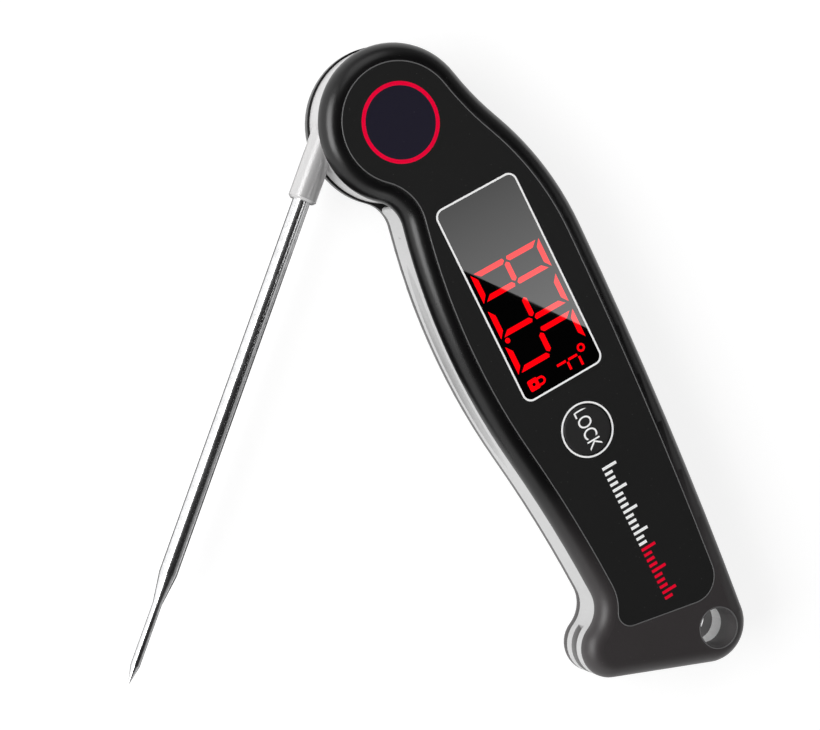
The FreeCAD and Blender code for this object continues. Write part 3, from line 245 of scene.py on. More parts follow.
class Effects:
    """The shared shader groups, each built once."""

    def __init__(self) -> None:
        """Builds every group."""
        self.trees: dict[Effect, NodeTree] = {
            Effect.GRAIN: self.grain(),
            Effect.EDGE: self.edge(),
            Effect.HANDLING: self.handling(),
            Effect.BRUSH: self.brush(),
            Effect.PAINTED_SHADE: self.painted_crevice_shade(),
        }

    def grain(self) -> NodeTree:
        """Fine spark-eroded grain of a moulded surface: a height and a faint fleck."""
        coarser, fine_share = 0.21, 0.75
        desk, take, give = new_group("Shader", Effect.GRAIN.value, {"Vector": "Vector", "Size": 0.3 * MM},
                                     {"Height": "Float", "Fleck": "Float"})
        scale = desk.math("DIVIDE", 1.0, take["Size"])
        fine = desk.noise(take["Vector"], scale, 3.0)
        broad = desk.noise(take["Vector"], desk.math("MULTIPLY", scale, coarser), 1.0)
        height = desk.math("ADD", desk.math("MULTIPLY", fine, fine_share),
                           desk.math("MULTIPLY", broad, 1.0 - fine_share))
        desk.feed(give, {"Height": height, "Fleck": desk.spread(fine, 0.46, 0.72)})
        return desk.tree

    def edge(self) -> NodeTree:
        """Mask of the outward edges, broken up as rubbing breaks them."""
        breaks_per_metre = 420.0
        desk, take, give = new_group("Shader", Effect.EDGE.value, {"Vector": "Vector", "Reach": 0.15 * MM},
                                     {"Edge": "Float"})
        rounded = desk.add("ShaderNodeBevel", {"Radius": take["Reach"]}, samples=4)
        normal = desk.add("ShaderNodeNewGeometry").outputs["Normal"]
        facing = desk.add("ShaderNodeVectorMath", {0: rounded.outputs[0], 1: normal}, operation="DOT_PRODUCT")
        mask = desk.spread(facing.outputs["Value"], 0.80, 0.98, 1.0, 0.0)
        broken = desk.spread(desk.noise(take["Vector"], breaks_per_metre, 4.0), 0.35, 0.65, 0.25, 1.0)
        desk.feed(give, {"Edge": desk.math("MULTIPLY", mask, broken, clamp=True)})
        return desk.tree

    def handling(self) -> NodeTree:
        """Soft smudges from hands, and specks of dust on faces that look up."""
        specks_per_smudge = 9.0
        desk, take, give = new_group("Shader", Effect.HANDLING.value, {"Vector": "Vector", "Size": 14 * MM},
                                     {"Smudge": "Float", "Dust": "Float"})
        scale = desk.math("DIVIDE", 1.0, take["Size"])
        smudge = desk.spread(desk.noise(take["Vector"], scale, 5.0), 0.35, 0.68)
        cells = desk.add("ShaderNodeTexVoronoi", {"Vector": take["Vector"], "Scale": desk.math(
            "MULTIPLY", scale, specks_per_smudge)}, feature="F1")
        specks = desk.spread(cells.outputs["Distance"], 0.03, 0.07, 1.0, 0.0)
        upward = desk.spread(desk.axis(desk.add("ShaderNodeNewGeometry").outputs["Normal"], 2), 0.3, 0.95)
        desk.feed(give, {"Smudge": smudge, "Dust": desk.math("MULTIPLY", specks, upward)})
        return desk.tree

    def brush(self) -> NodeTree:
        """Fine lines that run round a turned or drawn bar, whose length lies along the vector's X."""
        stretch, coarser = (1.0, 0.06, 0.06), 0.12
        desk, take, give = new_group("Shader", Effect.BRUSH.value, {"Vector": "Vector", "Pitch": 0.12 * MM},
                                     {"Height": "Float", "Streak": "Float"})
        drawn = desk.add("ShaderNodeVectorMath", {0: take["Vector"], 1: stretch},
                         operation="MULTIPLY").outputs[0]
        scale = desk.math("DIVIDE", 1.0, take["Pitch"])
        broad = desk.noise(drawn, desk.math("MULTIPLY", scale, coarser), 2.0)
        desk.feed(give, {"Height": desk.noise(drawn, scale, 3.0), "Streak": desk.spread(broad, 0.35, 0.65)})
        return desk.tree

    def painted_crevice_shade(self) -> NodeTree:
        """Mask of painted shade that is 1 in grooves and slots, where ambient occlusion finds them shaded."""
        desk, take, give = new_group("Shader", Effect.PAINTED_SHADE.value, {"Reach": 4 * MM}, {"PaintedShade": "Float"})
        shade = desk.add("ShaderNodeAmbientOcclusion", {"Distance": take["Reach"]}, samples=6, only_local=True)
        desk.feed(give, {"PaintedShade": desk.spread(shade.outputs["AO"], 0.35, 0.92, 1.0, 0.0)})
        return desk.tree

    def place(self, desk: Desk, effect: Effect, inputs: Feed | None = None) -> Sockets:
        """Places a group in a material.

        Args:
            desk: the material's desk.
            effect: which group.
            inputs: what its inputs are fed.

        Returns:
            The group's outputs.
        """
        node = desk.add("ShaderNodeGroup", node_tree=self.trees[effect])
        return desk.feed(node, inputs or {}).outputs


# ---- finishes


def new_material(name: str, kind: str = "ShaderNodeBsdfPrincipled") -> tuple[Material, Desk, Node]:
    """Starts a material with its shader.

    Args:
        name: the material's name.
        kind: Blender's name of the shader's node.

    Returns:
        The material, the desk for its nodes, and the shader.
    """
    material = bpy.data.materials.new(name)
    material.use_nodes = True
    material.node_tree.nodes.clear()
    desk = Desk(material.node_tree)
    shader = desk.add(kind)
    desk.add("ShaderNodeOutputMaterial", {"Surface": shader.outputs[0]})
    return material, desk, shader


@dataclass(frozen=True)
class Moulded:
    """Plastic, rubber or printed ink with a fine grain.

    A painted sheen, a lighter brownish colour, fades in along the case towards the foot; lit is painted light,
    a glow that makes a pale finish shine a little; and the crevice colour is painted shade that darkens its
    grooves.
    """

    name: str
    colour: Colour
    worn: Colour
    roughness: float
    spread: float = 0.05
    specular: float = 0.5
    coat: float = 0.0
    coat_roughness: float = 0.12
    grain: float = 0.3 * MM
    depth: float = 0.004 * MM
    fleck: float = 0.4
    fleck_colour: Colour = grey(0.8)
    rub: float = 0.6
    polish: float = -0.08
    dust: float = 0.15
    dust_colour: Colour = (0.35, 0.34, 0.33)
    metallic: float = 0.0
    lit: float = 0.0
    painted_crevice_shade: Colour | None = None
    painted_foot_sheen: Colour | None = None
    foot_start: float = 88 * MM
    foot_end: float = 126 * MM
    foot_roughness: float = 0.15

    def make(self, effects: Effects) -> Material:
        """Builds the material.

        Args:
            effects: the shared groups.

        Returns:
            The material.
        """
        material, desk, shader = new_material(self.name)
        here = desk.here()
        grain = effects.place(desk, Effect.GRAIN, {"Vector": here, "Size": self.grain})
        edge = effects.place(desk, Effect.EDGE, {"Vector": here})["Edge"]
        marks = effects.place(desk, Effect.HANDLING, {"Vector": here})
        colour: object = self.colour
        rough = desk.spread(marks["Smudge"], 0.0, 1.0, self.roughness - self.spread,
                            self.roughness + self.spread)
        # painted sheen: the colour fades to a lighter brownish grey towards the foot, standing in for
        # reflected light; the roughness rises there too
        if self.painted_foot_sheen:
            along = desk.spread(desk.axis(here, 0), self.foot_start, self.foot_end)
            colour = desk.blend(along, self.colour, self.painted_foot_sheen)
            rough = desk.math("ADD", rough, desk.math("MULTIPLY", along, self.foot_roughness))
        fleck = desk.blend(desk.math("MULTIPLY", grain["Fleck"], self.fleck), grey(1.0), self.fleck_colour)
        base = desk.blend(1.0, colour, fleck, "MULTIPLY")
        # painted shade: ambient occlusion darkens the colour in grooves and slots
        if self.painted_crevice_shade:
            base = desk.blend(effects.place(desk, Effect.PAINTED_SHADE)["PaintedShade"], base, self.painted_crevice_shade)
        rubbed = desk.blend(desk.math("MULTIPLY", edge, self.rub), base, self.worn)
        dusty = desk.blend(desk.math("MULTIPLY", marks["Dust"], self.dust), rubbed, self.dust_colour)
        desk.feed(shader, {
            "Base Color": dusty,
            "Roughness": desk.math("ADD", rough, desk.math("MULTIPLY", edge, self.polish)),
            "Normal": desk.bump(grain["Height"], self.depth),
            "Specular IOR Level": self.specular,
            "Coat Weight": self.coat,
            "Coat Roughness": self.coat_roughness,
            "Metallic": self.metallic,
        })
        # painted light: a glow in the finish's own colour, though the part is no lamp
        if self.lit:
            desk.feed(shader, {"Emission Color": opaque(self.colour), "Emission Strength": self.lit})
        return material


@dataclass(frozen=True)
class Metal:
    """Steel or brass with fine lines across its run; rim is its brightness at a glancing angle."""

    name: str
    colour: Colour
    roughness: float
    turn: float = 0.0
    pitch: float = 0.12 * MM
    depth: float = 0.0012 * MM
    rim: float = 1.0
    streak: float = 0.86
    smudge_size: float = 9 * MM
    smudge: float = 0.05
    spread: float = 0.05
    dust: float = 0.1
    dust_colour: Colour = (0.4, 0.39, 0.38)

    def make(self, effects: Effects) -> Material:
        """Builds the material.

        Args:
            effects: the shared groups.

        Returns:
            The material.
        """
        material, desk, shader = new_material(self.name)
        turned = desk.add("ShaderNodeMapping", {"Vector": desk.here(), "Rotation": (0.0, 0.0, self.turn)},
                          vector_type="POINT").outputs[0]
        lines = effects.place(desk, Effect.BRUSH, {"Vector": turned, "Pitch": self.pitch})
        marks = effects.place(desk, Effect.HANDLING, {"Vector": turned, "Size": self.smudge_size})
        base = desk.blend(lines["Streak"], self.colour, tuple(part * self.streak for part in self.colour))
        brushed = desk.spread(lines["Height"], 0.3, 0.7, self.roughness, self.roughness + self.spread)
        desk.feed(shader, {
            "Base Color": desk.blend(desk.math("MULTIPLY", marks["Dust"], self.dust), base, self.dust_colour),
            "Roughness": desk.math("ADD", brushed, desk.math("MULTIPLY", marks["Smudge"], self.smudge)),
            "Normal": desk.bump(lines["Height"], self.depth),
            "Metallic": 1.0,
            "Specular Tint": opaque(grey(self.rim)),
        })
        return material


@dataclass(frozen=True)
class Panel:
    """Glossy smoked window, or the lit segments under it."""

    name: str
    colour: Colour
    roughness: float = 0.0
    spread: float = 0.02
    index: float = 1.45
    smudge_size: float = 11 * MM
    dust: float = 0.02
    dust_colour: Colour = grey(0.3)
    glow: Colour | None = None
    strength: float = 0.0
    grain: float = 0.5 * MM
    dimmer: float = 0.92

    def make(self, effects: Effects) -> Material:
        """Builds the material.

        Args:
            effects: the shared groups.

        Returns:
            The material.
        """
        material, desk, shader = new_material(self.name)
        here = desk.here()
        marks = effects.place(desk, Effect.HANDLING, {"Vector": here, "Size": self.smudge_size})
        desk.feed(shader, {
            "Base Color": desk.blend(desk.math("MULTIPLY", marks["Dust"], self.dust), self.colour,
                                     self.dust_colour),
            "Roughness": desk.spread(marks["Smudge"], 0.0, 1.0, self.roughness, self.roughness + self.spread),
            "IOR": self.index,
        })
        if self.glow:
            fleck = effects.place(desk, Effect.GRAIN, {"Vector": here, "Size": self.grain})["Fleck"]
            dim = tuple(part * self.dimmer for part in self.glow)
            desk.feed(shader, {"Emission Color": desk.blend(fleck, self.glow, dim),
                               "Emission Strength": self.strength})
        return material


class Finish(Enum):
    """Every finish of the thermometer."""

    # the foot colour is a painted sheen, a lighter brownish grey towards the foot
    CASE = Moulded("case_black", (0.0030, 0.0028, 0.0030), (0.03, 0.028, 0.028), 0.30, spread=0.03,
                   painted_foot_sheen=(0.0390, 0.0345, 0.0355))
    PLATE = Moulded("plate_black", grey(0.015), grey(0.04), 0.45, spread=0.02, specular=0.15, grain=0.22 * MM,
                    depth=0.002 * MM)
    CAP = Moulded("cap_indigo", (0.0160, 0.0142, 0.0270), (0.05, 0.045, 0.07), 0.42, spread=0.02,
                  specular=0.15, grain=0.2 * MM, depth=0.002 * MM)
    RED = Moulded("ring_red", (1.0, 0.0, 0.045), (1.0, 0.03, 0.08), 0.45, specular=0.12, dust=0.02)
    # the crevice colour is painted shade in the frame's grooves and slots
    FRAME = Moulded("frame_silver", grey(0.44), grey(0.62), 0.34, depth=0.003 * MM, dust=0.04,
                    painted_crevice_shade=(0.14, 0.135, 0.135))
    # painted light: the sleeve is paler than the frame grey it lines and glows a little, to brighten the
    # inside of the hole
    SLEEVE_PAINTED_LIGHT = Moulded("sleeve_painted_light", grey(0.88), grey(0.9), 0.4, lit=0.10)
    HUB = Moulded("hub_silver", (0.58, 0.575, 0.575), (0.68, 0.68, 0.68), 0.32, depth=0.003 * MM, dust=0.04,
                  metallic=0.4)
    SEAL = Moulded("seal_rubber", (0.020, 0.020, 0.021), grey(0.04), 0.7)
    BUTTON = Moulded("button_black", (0.0230, 0.0225, 0.0228), grey(0.06), 0.5, specular=0.25)
    # the ink's lit value is painted light, a glow that brightens the white print
    INK = Moulded("ink_white", grey(0.95), grey(0.95), 0.55, specular=0.3, depth=0.001 * MM, dust=0.02,
                  lit=0.12)
    RED_INK = Moulded("ink_red", (1.0, 0.0, 0.03), (1.0, 0.02, 0.05), 0.55, specular=0.12, depth=0.001 * MM,
                      dust=0.02)
    # painted highlight: a lighter grey bead stands for light caught by the bevel at the plate's edge and the
    # hole's mouth
    HIGHLIGHT_BEAD = Moulded("painted_edge_highlight", (0.125, 0.125, 0.126), grey(0.16), 0.4)
    PANEL = Moulded("display_black", grey(0.003), grey(0.01), 0.6, specular=0.1, dust=0.0)
    BOARD = Moulded("board_green", (0.015, 0.11, 0.045), (0.3, 0.2, 0.1), 0.4, coat=0.3)
    CHIP = Moulded("chip_black", (0.012, 0.012, 0.013), grey(0.05), 0.6)
    SWITCH = Moulded("switch_beige", (0.5, 0.48, 0.42), (0.6, 0.58, 0.52), 0.5)
    BUSH = Moulded("bush_white", (0.72, 0.70, 0.66), (0.8, 0.8, 0.78), 0.4)
    LEADS = Moulded("leads_white", (0.7, 0.7, 0.68), grey(0.8), 0.5)
    STEEL = Metal("probe_steel", (0.93, 0.93, 0.94), 0.17, turn=PROBE_TURN, depth=0.00006 * MM, rim=0.0)
    SCREW = Metal("screw_steel", (0.62, 0.62, 0.64), 0.24)
    BRASS = Metal("contact_brass", (0.78, 0.56, 0.26), 0.25)
    CELL = Metal("cell_sleeve", (0.45, 0.46, 0.48), 0.3)
    MAGNET = Metal("magnet_nickel", (0.70, 0.68, 0.64), 0.22)
    GLOW = Panel("segment_red", (0.02, 0.0, 0.0), glow=(1.0, 0.0, 0.003), strength=1.25)
    WINDOW = Panel("window_smoked", grey(0.0006))


SLOT_FINISHES: dict[str, Finish] = {
    "dark_case": Finish.CASE, "face_plate": Finish.PLATE, "window": Finish.WINDOW, "pivot_cap": Finish.CAP,
    "red_trim": Finish.RED, "light_frame": Finish.FRAME, "seal": Finish.SEAL, "screw_steel": Finish.SCREW,
    "brass": Finish.BRASS, "bush": Finish.BUSH, "board": Finish.BOARD, "display": Finish.PANEL,
    "switch": Finish.SWITCH, "chip": Finish.CHIP, "cell": Finish.CELL, "contact": Finish.BRASS,
    "magnet": Finish.MAGNET, "probe_steel": Finish.STEEL, "sensor": Finish.CHIP, "leads": Finish.LEADS,
    "button": Finish.BUTTON,
}
NODE_FINISHES: dict[str, Finish] = {"hub": Finish.HUB}


class Wardrobe:
    """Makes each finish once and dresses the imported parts."""

    def __init__(self) -> None:
        """Builds every material."""
        effects = Effects()
        self.materials = {finish: finish.value.make(effects) for finish in Finish}

    def dress(self, nodes: Mapping[str, Object]) -> None:
        """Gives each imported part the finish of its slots.

        Args:
            nodes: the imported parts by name.
        """
        for name, part in sorted(nodes.items()):
            for slot in part.material_slots:
                finish = NODE_FINISHES.get(name, SLOT_FINISHES[slot.material.name])
                slot.material = self.materials[finish]
            LOG.info("part %s dressed", name)


# ---- shapes


def new_piece(name: str, mesh: Mesh) -> Object:
    """Links a new object that holds a mesh, at the origin.

    Args:
        name: the object's name.
        mesh: what it holds.

    Returns:
        The object.
    """
    piece = bpy.data.objects.new(name, mesh)
    bpy.context.scene.collection.objects.link(piece)
    return piece


def settle(piece: Object, body: Body, stands_for: Sequence[str] = ()) -> None:
    """Makes a finished piece ride on its body and reports it.

    Args:
        piece: the finished piece.
        body: the body that carries it.
        stands_for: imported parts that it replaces.
    """
    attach(piece, body.value)
    if stands_for:
        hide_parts(*stands_for)
    LOG.info("piece %s on %s: %d faces", piece.name, body.value, len(piece.data.polygons))


def tidy_mesh(mesh: Mesh, smooth_angle: float | None = None, merge: float = 0.001 * MM,
              speck: float = 0.0001 * MM) -> Mesh:
    """Merges doubled points, turns the faces outward and sets the shading.

    Args:
        mesh: the mesh, which is changed.
        smooth_angle: edges sharper than this many degrees stay crisp; None keeps flat shading.
        merge: points nearer than this become one.
        speck: faces thinner than this are dissolved.

    Returns:
        The same mesh.
    """
    shape = bmesh.new()
    shape.from_mesh(mesh)
    bmesh.ops.remove_doubles(shape, verts=shape.verts, dist=merge)
    bmesh.ops.dissolve_degenerate(shape, dist=speck, edges=shape.edges)
    bmesh.ops.recalc_face_normals(shape, faces=shape.faces)
    shape.to_mesh(mesh)
    shape.free()
    if smooth_angle is not None:
        mesh.shade_smooth()
        mesh.set_sharp_from_angle(angle=math.radians(smooth_angle))
    mesh.update()
    return mesh


def curve_mesh(curve: bpy.types.Curve, place: Matrix, material: Material) -> Mesh:
    """Turns a flat curve or a text into a closed mesh.

    Args:
        curve: the curve data.
        place: moves the finished mesh to its place.
        material: the finish.

    Returns:
        The mesh.
    """
    holder = bpy.data.objects.new("holder", curve)
    bpy.context.scene.collection.objects.link(holder)
    graph = bpy.context.evaluated_depsgraph_get()
    mesh = bpy.data.meshes.new_from_object(holder.evaluated_get(graph))
    bpy.data.objects.remove(holder)
    mesh.transform(place)
    mesh.materials.clear()
    mesh.materials.append(material)
    return tidy_mesh(mesh)


def flat_shape(name: str, outlines: Iterable[Sequence[Flat]], low: float, high: float,
               material: Material) -> Object:
    """Makes a thin plate from closed outlines; an outline inside another is a hole.

    Args:
        name: the piece's name.
        outlines: closed outlines, as points.
        low: height of the underside.
        high: height of the top.
        material: the finish.

    Returns:
        The new piece.
    """
    curve = bpy.data.curves.new(name, "CURVE")
    curve.dimensions = "2D"
    curve.fill_mode = "BOTH"
    curve.extrude = (high - low) / 2
    for outline in outlines:
        spline = curve.splines.new("POLY")
        spline.points.add(len(outline) - 1)
        for point, (x, y) in zip(spline.points, outline):
            point.co = (x, y, 0.0, 1.0)
        spline.use_cyclic_u = True
    mesh = curve_mesh(curve, Matrix.Translation((0.0, 0.0, (low + high) / 2)), material)
    mesh.name = name
    return new_piece(name, mesh)


def ring_points(centre: Flat, radius: float, count: int = 64, start: float = 0.0,
                sweep: float = 360.0) -> list[Flat]:
    """Points along a circle or an arc.

    Args:
        centre: the centre.
        radius: the radius.
        count: how many points.
        start: angle of the first point, in degrees.
        sweep: angle that the points cover.

    Returns:
        The points in order.
    """
    steps = count if sweep == 360.0 else count - 1
    turns = (math.radians(start + sweep * step / steps) for step in range(count))
    return [(centre[0] + radius * math.cos(turn), centre[1] + radius * math.sin(turn)) for turn in turns]


def raised(loop: Sequence[Flat], height: float) -> list[Vector]:
    """Lifts flat points to one height."""
    return [Vector((x, y, height)) for x, y in loop]


def path_piece(name: str, loop: Sequence[Vector] = ()) -> Object:
    """Makes an object of bare edges for a tree to follow.

    Args:
        name: the object's name.
        loop: points of the closed path; without any the object is empty.

    Returns:
        The object.
    """
    mesh = bpy.data.meshes.new(name)
    mesh.from_pydata(loop, [(place, (place + 1) % len(loop)) for place in range(len(loop))], [])
    return new_piece(name, mesh)


def span(points: Sequence[Flat]) -> float:
    """Length of an outline along X."""
    return max(x for x, _ in points) - min(x for x, _ in points)


def middle_of(node: str) -> Flat:
    """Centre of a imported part, seen from above."""
    low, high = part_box(node)
    return ((low.x + high.x) / 2, (low.y + high.y) / 2)


def merged_copy(node: str, merge: float = 0.002 * MM) -> bmesh.types.BMesh:
    """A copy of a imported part's mesh with its loose triangles joined.

    Args:
        node: the part's name.
        merge: points nearer than this become one.

    Returns:
        The copy.
    """
    shape = bmesh.new()
    shape.from_mesh(frame["nodes"][node].data)
    bmesh.ops.remove_doubles(shape, verts=shape.verts, dist=merge)
    return shape


def top_loops(node: str, level: float = 0.002 * MM) -> list[list[Flat]]:
    """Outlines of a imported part's highest flat face.

    Args:
        node: the part's name.
        level: points this far below the highest one still belong to the face.

    Returns:
        Each closed outline as points in order, the longest first.
    """
    shape = merged_copy(node)
    top = max(point.co.z for point in shape.verts)
    at_top = {point for point in shape.verts if top - point.co.z < level}
    upper = {face for face in shape.faces if all(point in at_top for point in face.verts)}
    rim = [edge for edge in shape.edges if sum(face in upper for face in edge.link_faces) == 1]
    ways: dict[bmesh.types.BMVert, list[bmesh.types.BMVert]] = {}
    for edge in rim:
        for point in edge.verts:
            ways.setdefault(point, []).append(edge.other_vert(point))
    loops = []
    while ways:
        here = next(iter(ways))
        loop = []
        while here in ways:
            loop.append((here.co.x, here.co.y))
            onward = [point for point in ways.pop(here) if point in ways]
            here = onward[0] if onward else None
        loops.append(loop)
    shape.free()
    return sorted(loops, key=span, reverse=True)


# ---- repeated shapes


class Trees:
    """Geometry trees for lines that follow a path and for marks that repeat."""

    def __init__(self) -> None:
        """Builds both trees."""
        self.line = self.line_tree()
        self.marks = self.marks_tree()

    @staticmethod
    def finish_tree(desk: Desk, material: NodeSocket, give: Node, shape: NodeSocket) -> NodeTree:
        """Ends a tree with Realize Instances and Set Material.

        Args:
            desk: the tree's desk.
            material: the input that brings the finish.
            give: the tree's output node.
            shape: what the tree has made.

        Returns:
            The finished tree.
        """
        real = desk.add("GeometryNodeRealizeInstances", {0: shape}).outputs[0]
        paint = desk.add("GeometryNodeSetMaterial", {"Geometry": real, "Material": material})
        desk.feed(give, {0: paint.outputs[0]})
        return desk.tree

    def line_tree(self) -> NodeTree:
        """A flat printed line or a round bead that follows edges."""
        bead_sides = 12
        desk, take, give = new_group("Geometry", "line_along_path", {
            "Geometry": "Geometry", "Width": 0.5 * MM, "Height": 0.02 * MM, "Round": False,
            "Material": "Material"}, {"Geometry": "Geometry"})
        path = desk.add("GeometryNodeMeshToCurve", {"Mesh": take["Geometry"]}).outputs[0]
        upright = desk.add("GeometryNodeSetCurveNormal", {0: path}, mode="Z_UP").outputs[0]
        strip = desk.add("GeometryNodeCurvePrimitiveQuadrilateral",
                         {"Width": take["Width"], "Height": take["Height"]})
        bead = desk.add("GeometryNodeCurvePrimitiveCircle",
                        {"Resolution": bead_sides, "Radius": desk.math("MULTIPLY", take["Width"], 0.5)})
        choice = desk.add("GeometryNodeSwitch", input_type="GEOMETRY")
        desk.feed(choice, {0: take["Round"], 1: strip.outputs[0], 2: bead.outputs[0]})
        sweep = desk.add("GeometryNodeCurveToMesh",
                         {"Curve": upright, "Profile Curve": choice.outputs[0], "Fill Caps": True})
        smooth = desk.add("GeometryNodeSetShadeSmooth",
                          {"Geometry": sweep.outputs[0], "Shade Smooth": take["Round"]})
        return self.finish_tree(desk, take["Material"], give, smooth.outputs[0])

    def marks_tree(self) -> NodeTree:
        """A row of marks standing on one line, every so often a longer one."""
        desk, take, give = new_group("Geometry", "marks_in_a_row", {
            "Geometry": "Geometry", "Start": "Vector", "Count": 10, "Pitch": MM, "Width": 0.4 * MM,
            "Short": 2 * MM, "Long": 3 * MM, "Every": 5, "Thickness": 0.02 * MM, "Material": "Material"},
            {"Geometry": "Geometry"})
        row = desk.add("GeometryNodeMeshLine", {
            "Count": take["Count"], "Start Location": take["Start"], "Offset": desk.vector(take["Pitch"])},
            mode="OFFSET").outputs[0]
        place = desk.math("MODULO", desk.add("GeometryNodeInputIndex").outputs[0], take["Every"])
        is_long = desk.math("COMPARE", place, 0.0, 0.5)
        extra = desk.math("SUBTRACT", take["Long"], take["Short"])
        length = desk.math("ADD", take["Short"], desk.math("MULTIPLY", extra, is_long))
        lift = desk.vector(0.0, desk.math("MULTIPLY", length, 0.5))
        seat = desk.add("GeometryNodeSetPosition", {"Geometry": row, "Offset": lift}).outputs[0]
        mark = desk.add("GeometryNodeMeshCube", {"Size": desk.vector(take["Width"], 1.0, take["Thickness"])})
        copies = desk.add("GeometryNodeInstanceOnPoints", {
            "Points": seat, "Instance": mark.outputs[0], "Scale": desk.vector(1.0, length, 1.0)})
        return self.finish_tree(desk, take["Material"], give, copies.outputs[0])

    @staticmethod
    def run(piece: Object, tree: NodeTree, **values: object) -> None:
        """Runs a tree on a piece and leaves a plain mesh.

        Args:
            piece: the object that the tree starts from; it ends with the finished mesh and no modifier.
            tree: the tree.
            values: the tree's named inputs.
        """
        modifier = piece.modifiers.new("shape", "NODES")
        modifier.node_group = tree
        inputs = {item.name: item.identifier for item in tree.interface.items_tree
                  if item.item_type == "SOCKET" and item.in_out == "INPUT"}
        for name, value in values.items():
            modifier[inputs[name]] = value
        graph = bpy.context.evaluated_depsgraph_get()
        mesh = bpy.data.meshes.new_from_object(piece.evaluated_get(graph), preserve_all_data_layers=True,
                                               depsgraph=graph)
        piece.modifiers.remove(modifier)
        piece.data = mesh
        mesh.name = piece.name


# ---- sub-assemblies


@dataclass
class FacePrint:
    """Printed lines, and beads whose lighter grey is a painted highlight on edges, on the display side."""

    trees: Trees
    wardrobe: Wardrobe
    ink: float = 0.02 * MM
    border_width: float = 0.44 * MM
    ring_gap: float = 0.31 * MM
    ring_width: float = 0.42 * MM
    largest_button: float = 20 * MM
    ring_count: int = 96
    bead_width: float = 0.34 * MM
    bead_sink: float = 0.10 * MM
    bead_out: float = 0.4
    bead_angle: float = 50.0
    sleeve_angle: float = 40.0
    sleeve_wall: float = 0.10 * MM
    pale_top: float = 9.6 * MM
    pale_drop: float = 0.6 * MM
    scale_gap: float = 3.4 * MM
    scale_lift: float = 0.9 * MM
    scale_pitch: float = 1.42 * MM
    scale_marks: int = 25
    red_marks: int = 10
    marks_per_long: int = 4
    mark_width: float = 0.70 * MM
    mark_short: float = 2.1 * MM
    mark_long: float = 3.8 * MM

    def build(self) -> None:
        """Builds every line and mark."""
        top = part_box("face_plate")[1].z
        self.ink_height = top + self.ink / 2
        loops = top_loops("face_plate")
        # painted highlight along the plate's edge
        self.draw("plate_edge_highlight", raised(loops[0], top - self.bead_sink), self.bead_width, Finish.HIGHLIGHT_BEAD)
        self.draw("window_border", raised(loops[1], self.ink_height), self.border_width, Finish.INK)
        self.button_ring(loops)
        self.hole_line()
        self.scale()

    def draw(self, name: str, path: Sequence[Vector], width: float, finish: Finish) -> None:
        """Draws one line along a closed path: a round bead in a painted highlight grey, or flat ink.

        Args:
            name: the piece's name.
            path: the closed path.
            width: the line's width.
            finish: its finish.
        """
        rounded = finish is Finish.HIGHLIGHT_BEAD
        piece = path_piece(name, path)
        Trees.run(piece, self.trees.line, Width=width, Height=self.ink, Round=rounded,
                  Material=self.wardrobe.materials[finish])
        tidy_mesh(piece.data, self.bead_angle if rounded else None)
        settle(piece, Body.CASE)

    def button_ring(self, loops: Sequence[Sequence[Flat]]) -> None:
        """White ring printed round the button.

        Args:
            loops: outlines of the face plate's top.
        """
        centre = middle_of("hold_button")
        mouths = [points for points in loops if span(points) < self.largest_button]
        mouth = min(mouths, key=lambda points: abs(sum(x for x, _ in points) / len(points) - centre[0]))
        ring = ring_points(centre, span(mouth) / 2 + self.ring_gap, self.ring_count)
        self.draw("button_ring", raised(ring, self.ink_height), self.ring_width, Finish.INK)

    def hole_line(self) -> None:
        """Bead in a painted highlight grey round the mouth of the hanging hole, and the thin sleeves in the
        hole, the back one painted light.
        """
        mount = next(mount for mount in frame["record"]["mounts"] if mount["name"] == "hang_hole")
        centre = tuple(mount["pos_m"][:2])
        radius = mount["dims"]["r_mm"] * MM
        mouth = ring_points(centre, radius + self.bead_width * self.bead_out, self.ring_count)
        cover = BVHTree.FromBMesh(merged_copy("front_cover"))
        down = Vector((0.0, 0.0, -1.0))
        heights = [cover.ray_cast(start, down)[0].z - self.bead_sink for start in raised(mouth, 1.0)]
        path = [Vector((x, y, height)) for (x, y), height in zip(mouth, heights)]
        # painted highlight round the hole's mouth
        self.draw("hole_edge_highlight", path, self.bead_width, Finish.HIGHLIGHT_BEAD)
        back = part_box("frame")[0].z - self.pale_drop
        # the back sleeve's pale, glowing finish is painted light inside the hole
        for name, low, high, finish, slot in (
                ("hole_sleeve_front", self.pale_top, min(heights), Finish.CASE, "dark_case"),
                ("hole_sleeve_back", back, self.pale_top, Finish.SLEEVE_PAINTED_LIGHT, "light_frame")):
            rings = [ring_points(centre, radius - wall, self.ring_count) for wall in (0.0, self.sleeve_wall)]
            sleeve = flat_shape(name, rings, low, high, self.wardrobe.materials[finish])
            tidy_mesh(sleeve.data, self.sleeve_angle)
            settle(sleeve, Body.CASE)

    def scale(self) -> None:
        """Row of graduated marks between the button and the foot, white and then red."""
        start = Vector((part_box("hold_button")[1].x + self.scale_gap,
                        middle_of("hold_button")[1] + self.scale_lift - self.mark_long / 2, self.ink_height))
        white = self.scale_marks - self.red_marks
        for name, first, count, finish in (("scale_marks_white", 0, white, Finish.INK),
                                           ("scale_marks_red", white, self.red_marks, Finish.RED_INK)):
            piece = path_piece(name)
            begin = start + Vector((first * self.scale_pitch, 0.0, 0.0))
            Trees.run(piece, self.trees.marks, Start=begin, Count=count, Pitch=self.scale_pitch,
                      Width=self.mark_width, Short=self.mark_short, Long=self.mark_long,
                      Every=self.marks_per_long, Thickness=self.ink, Material=self.wardrobe.materials[finish])
            settle(piece, Body.CASE)


SEGMENTS_LIT: dict[str, str] = {"8": "abcdefg", "3": "abcdg", "5": "acdfg"}


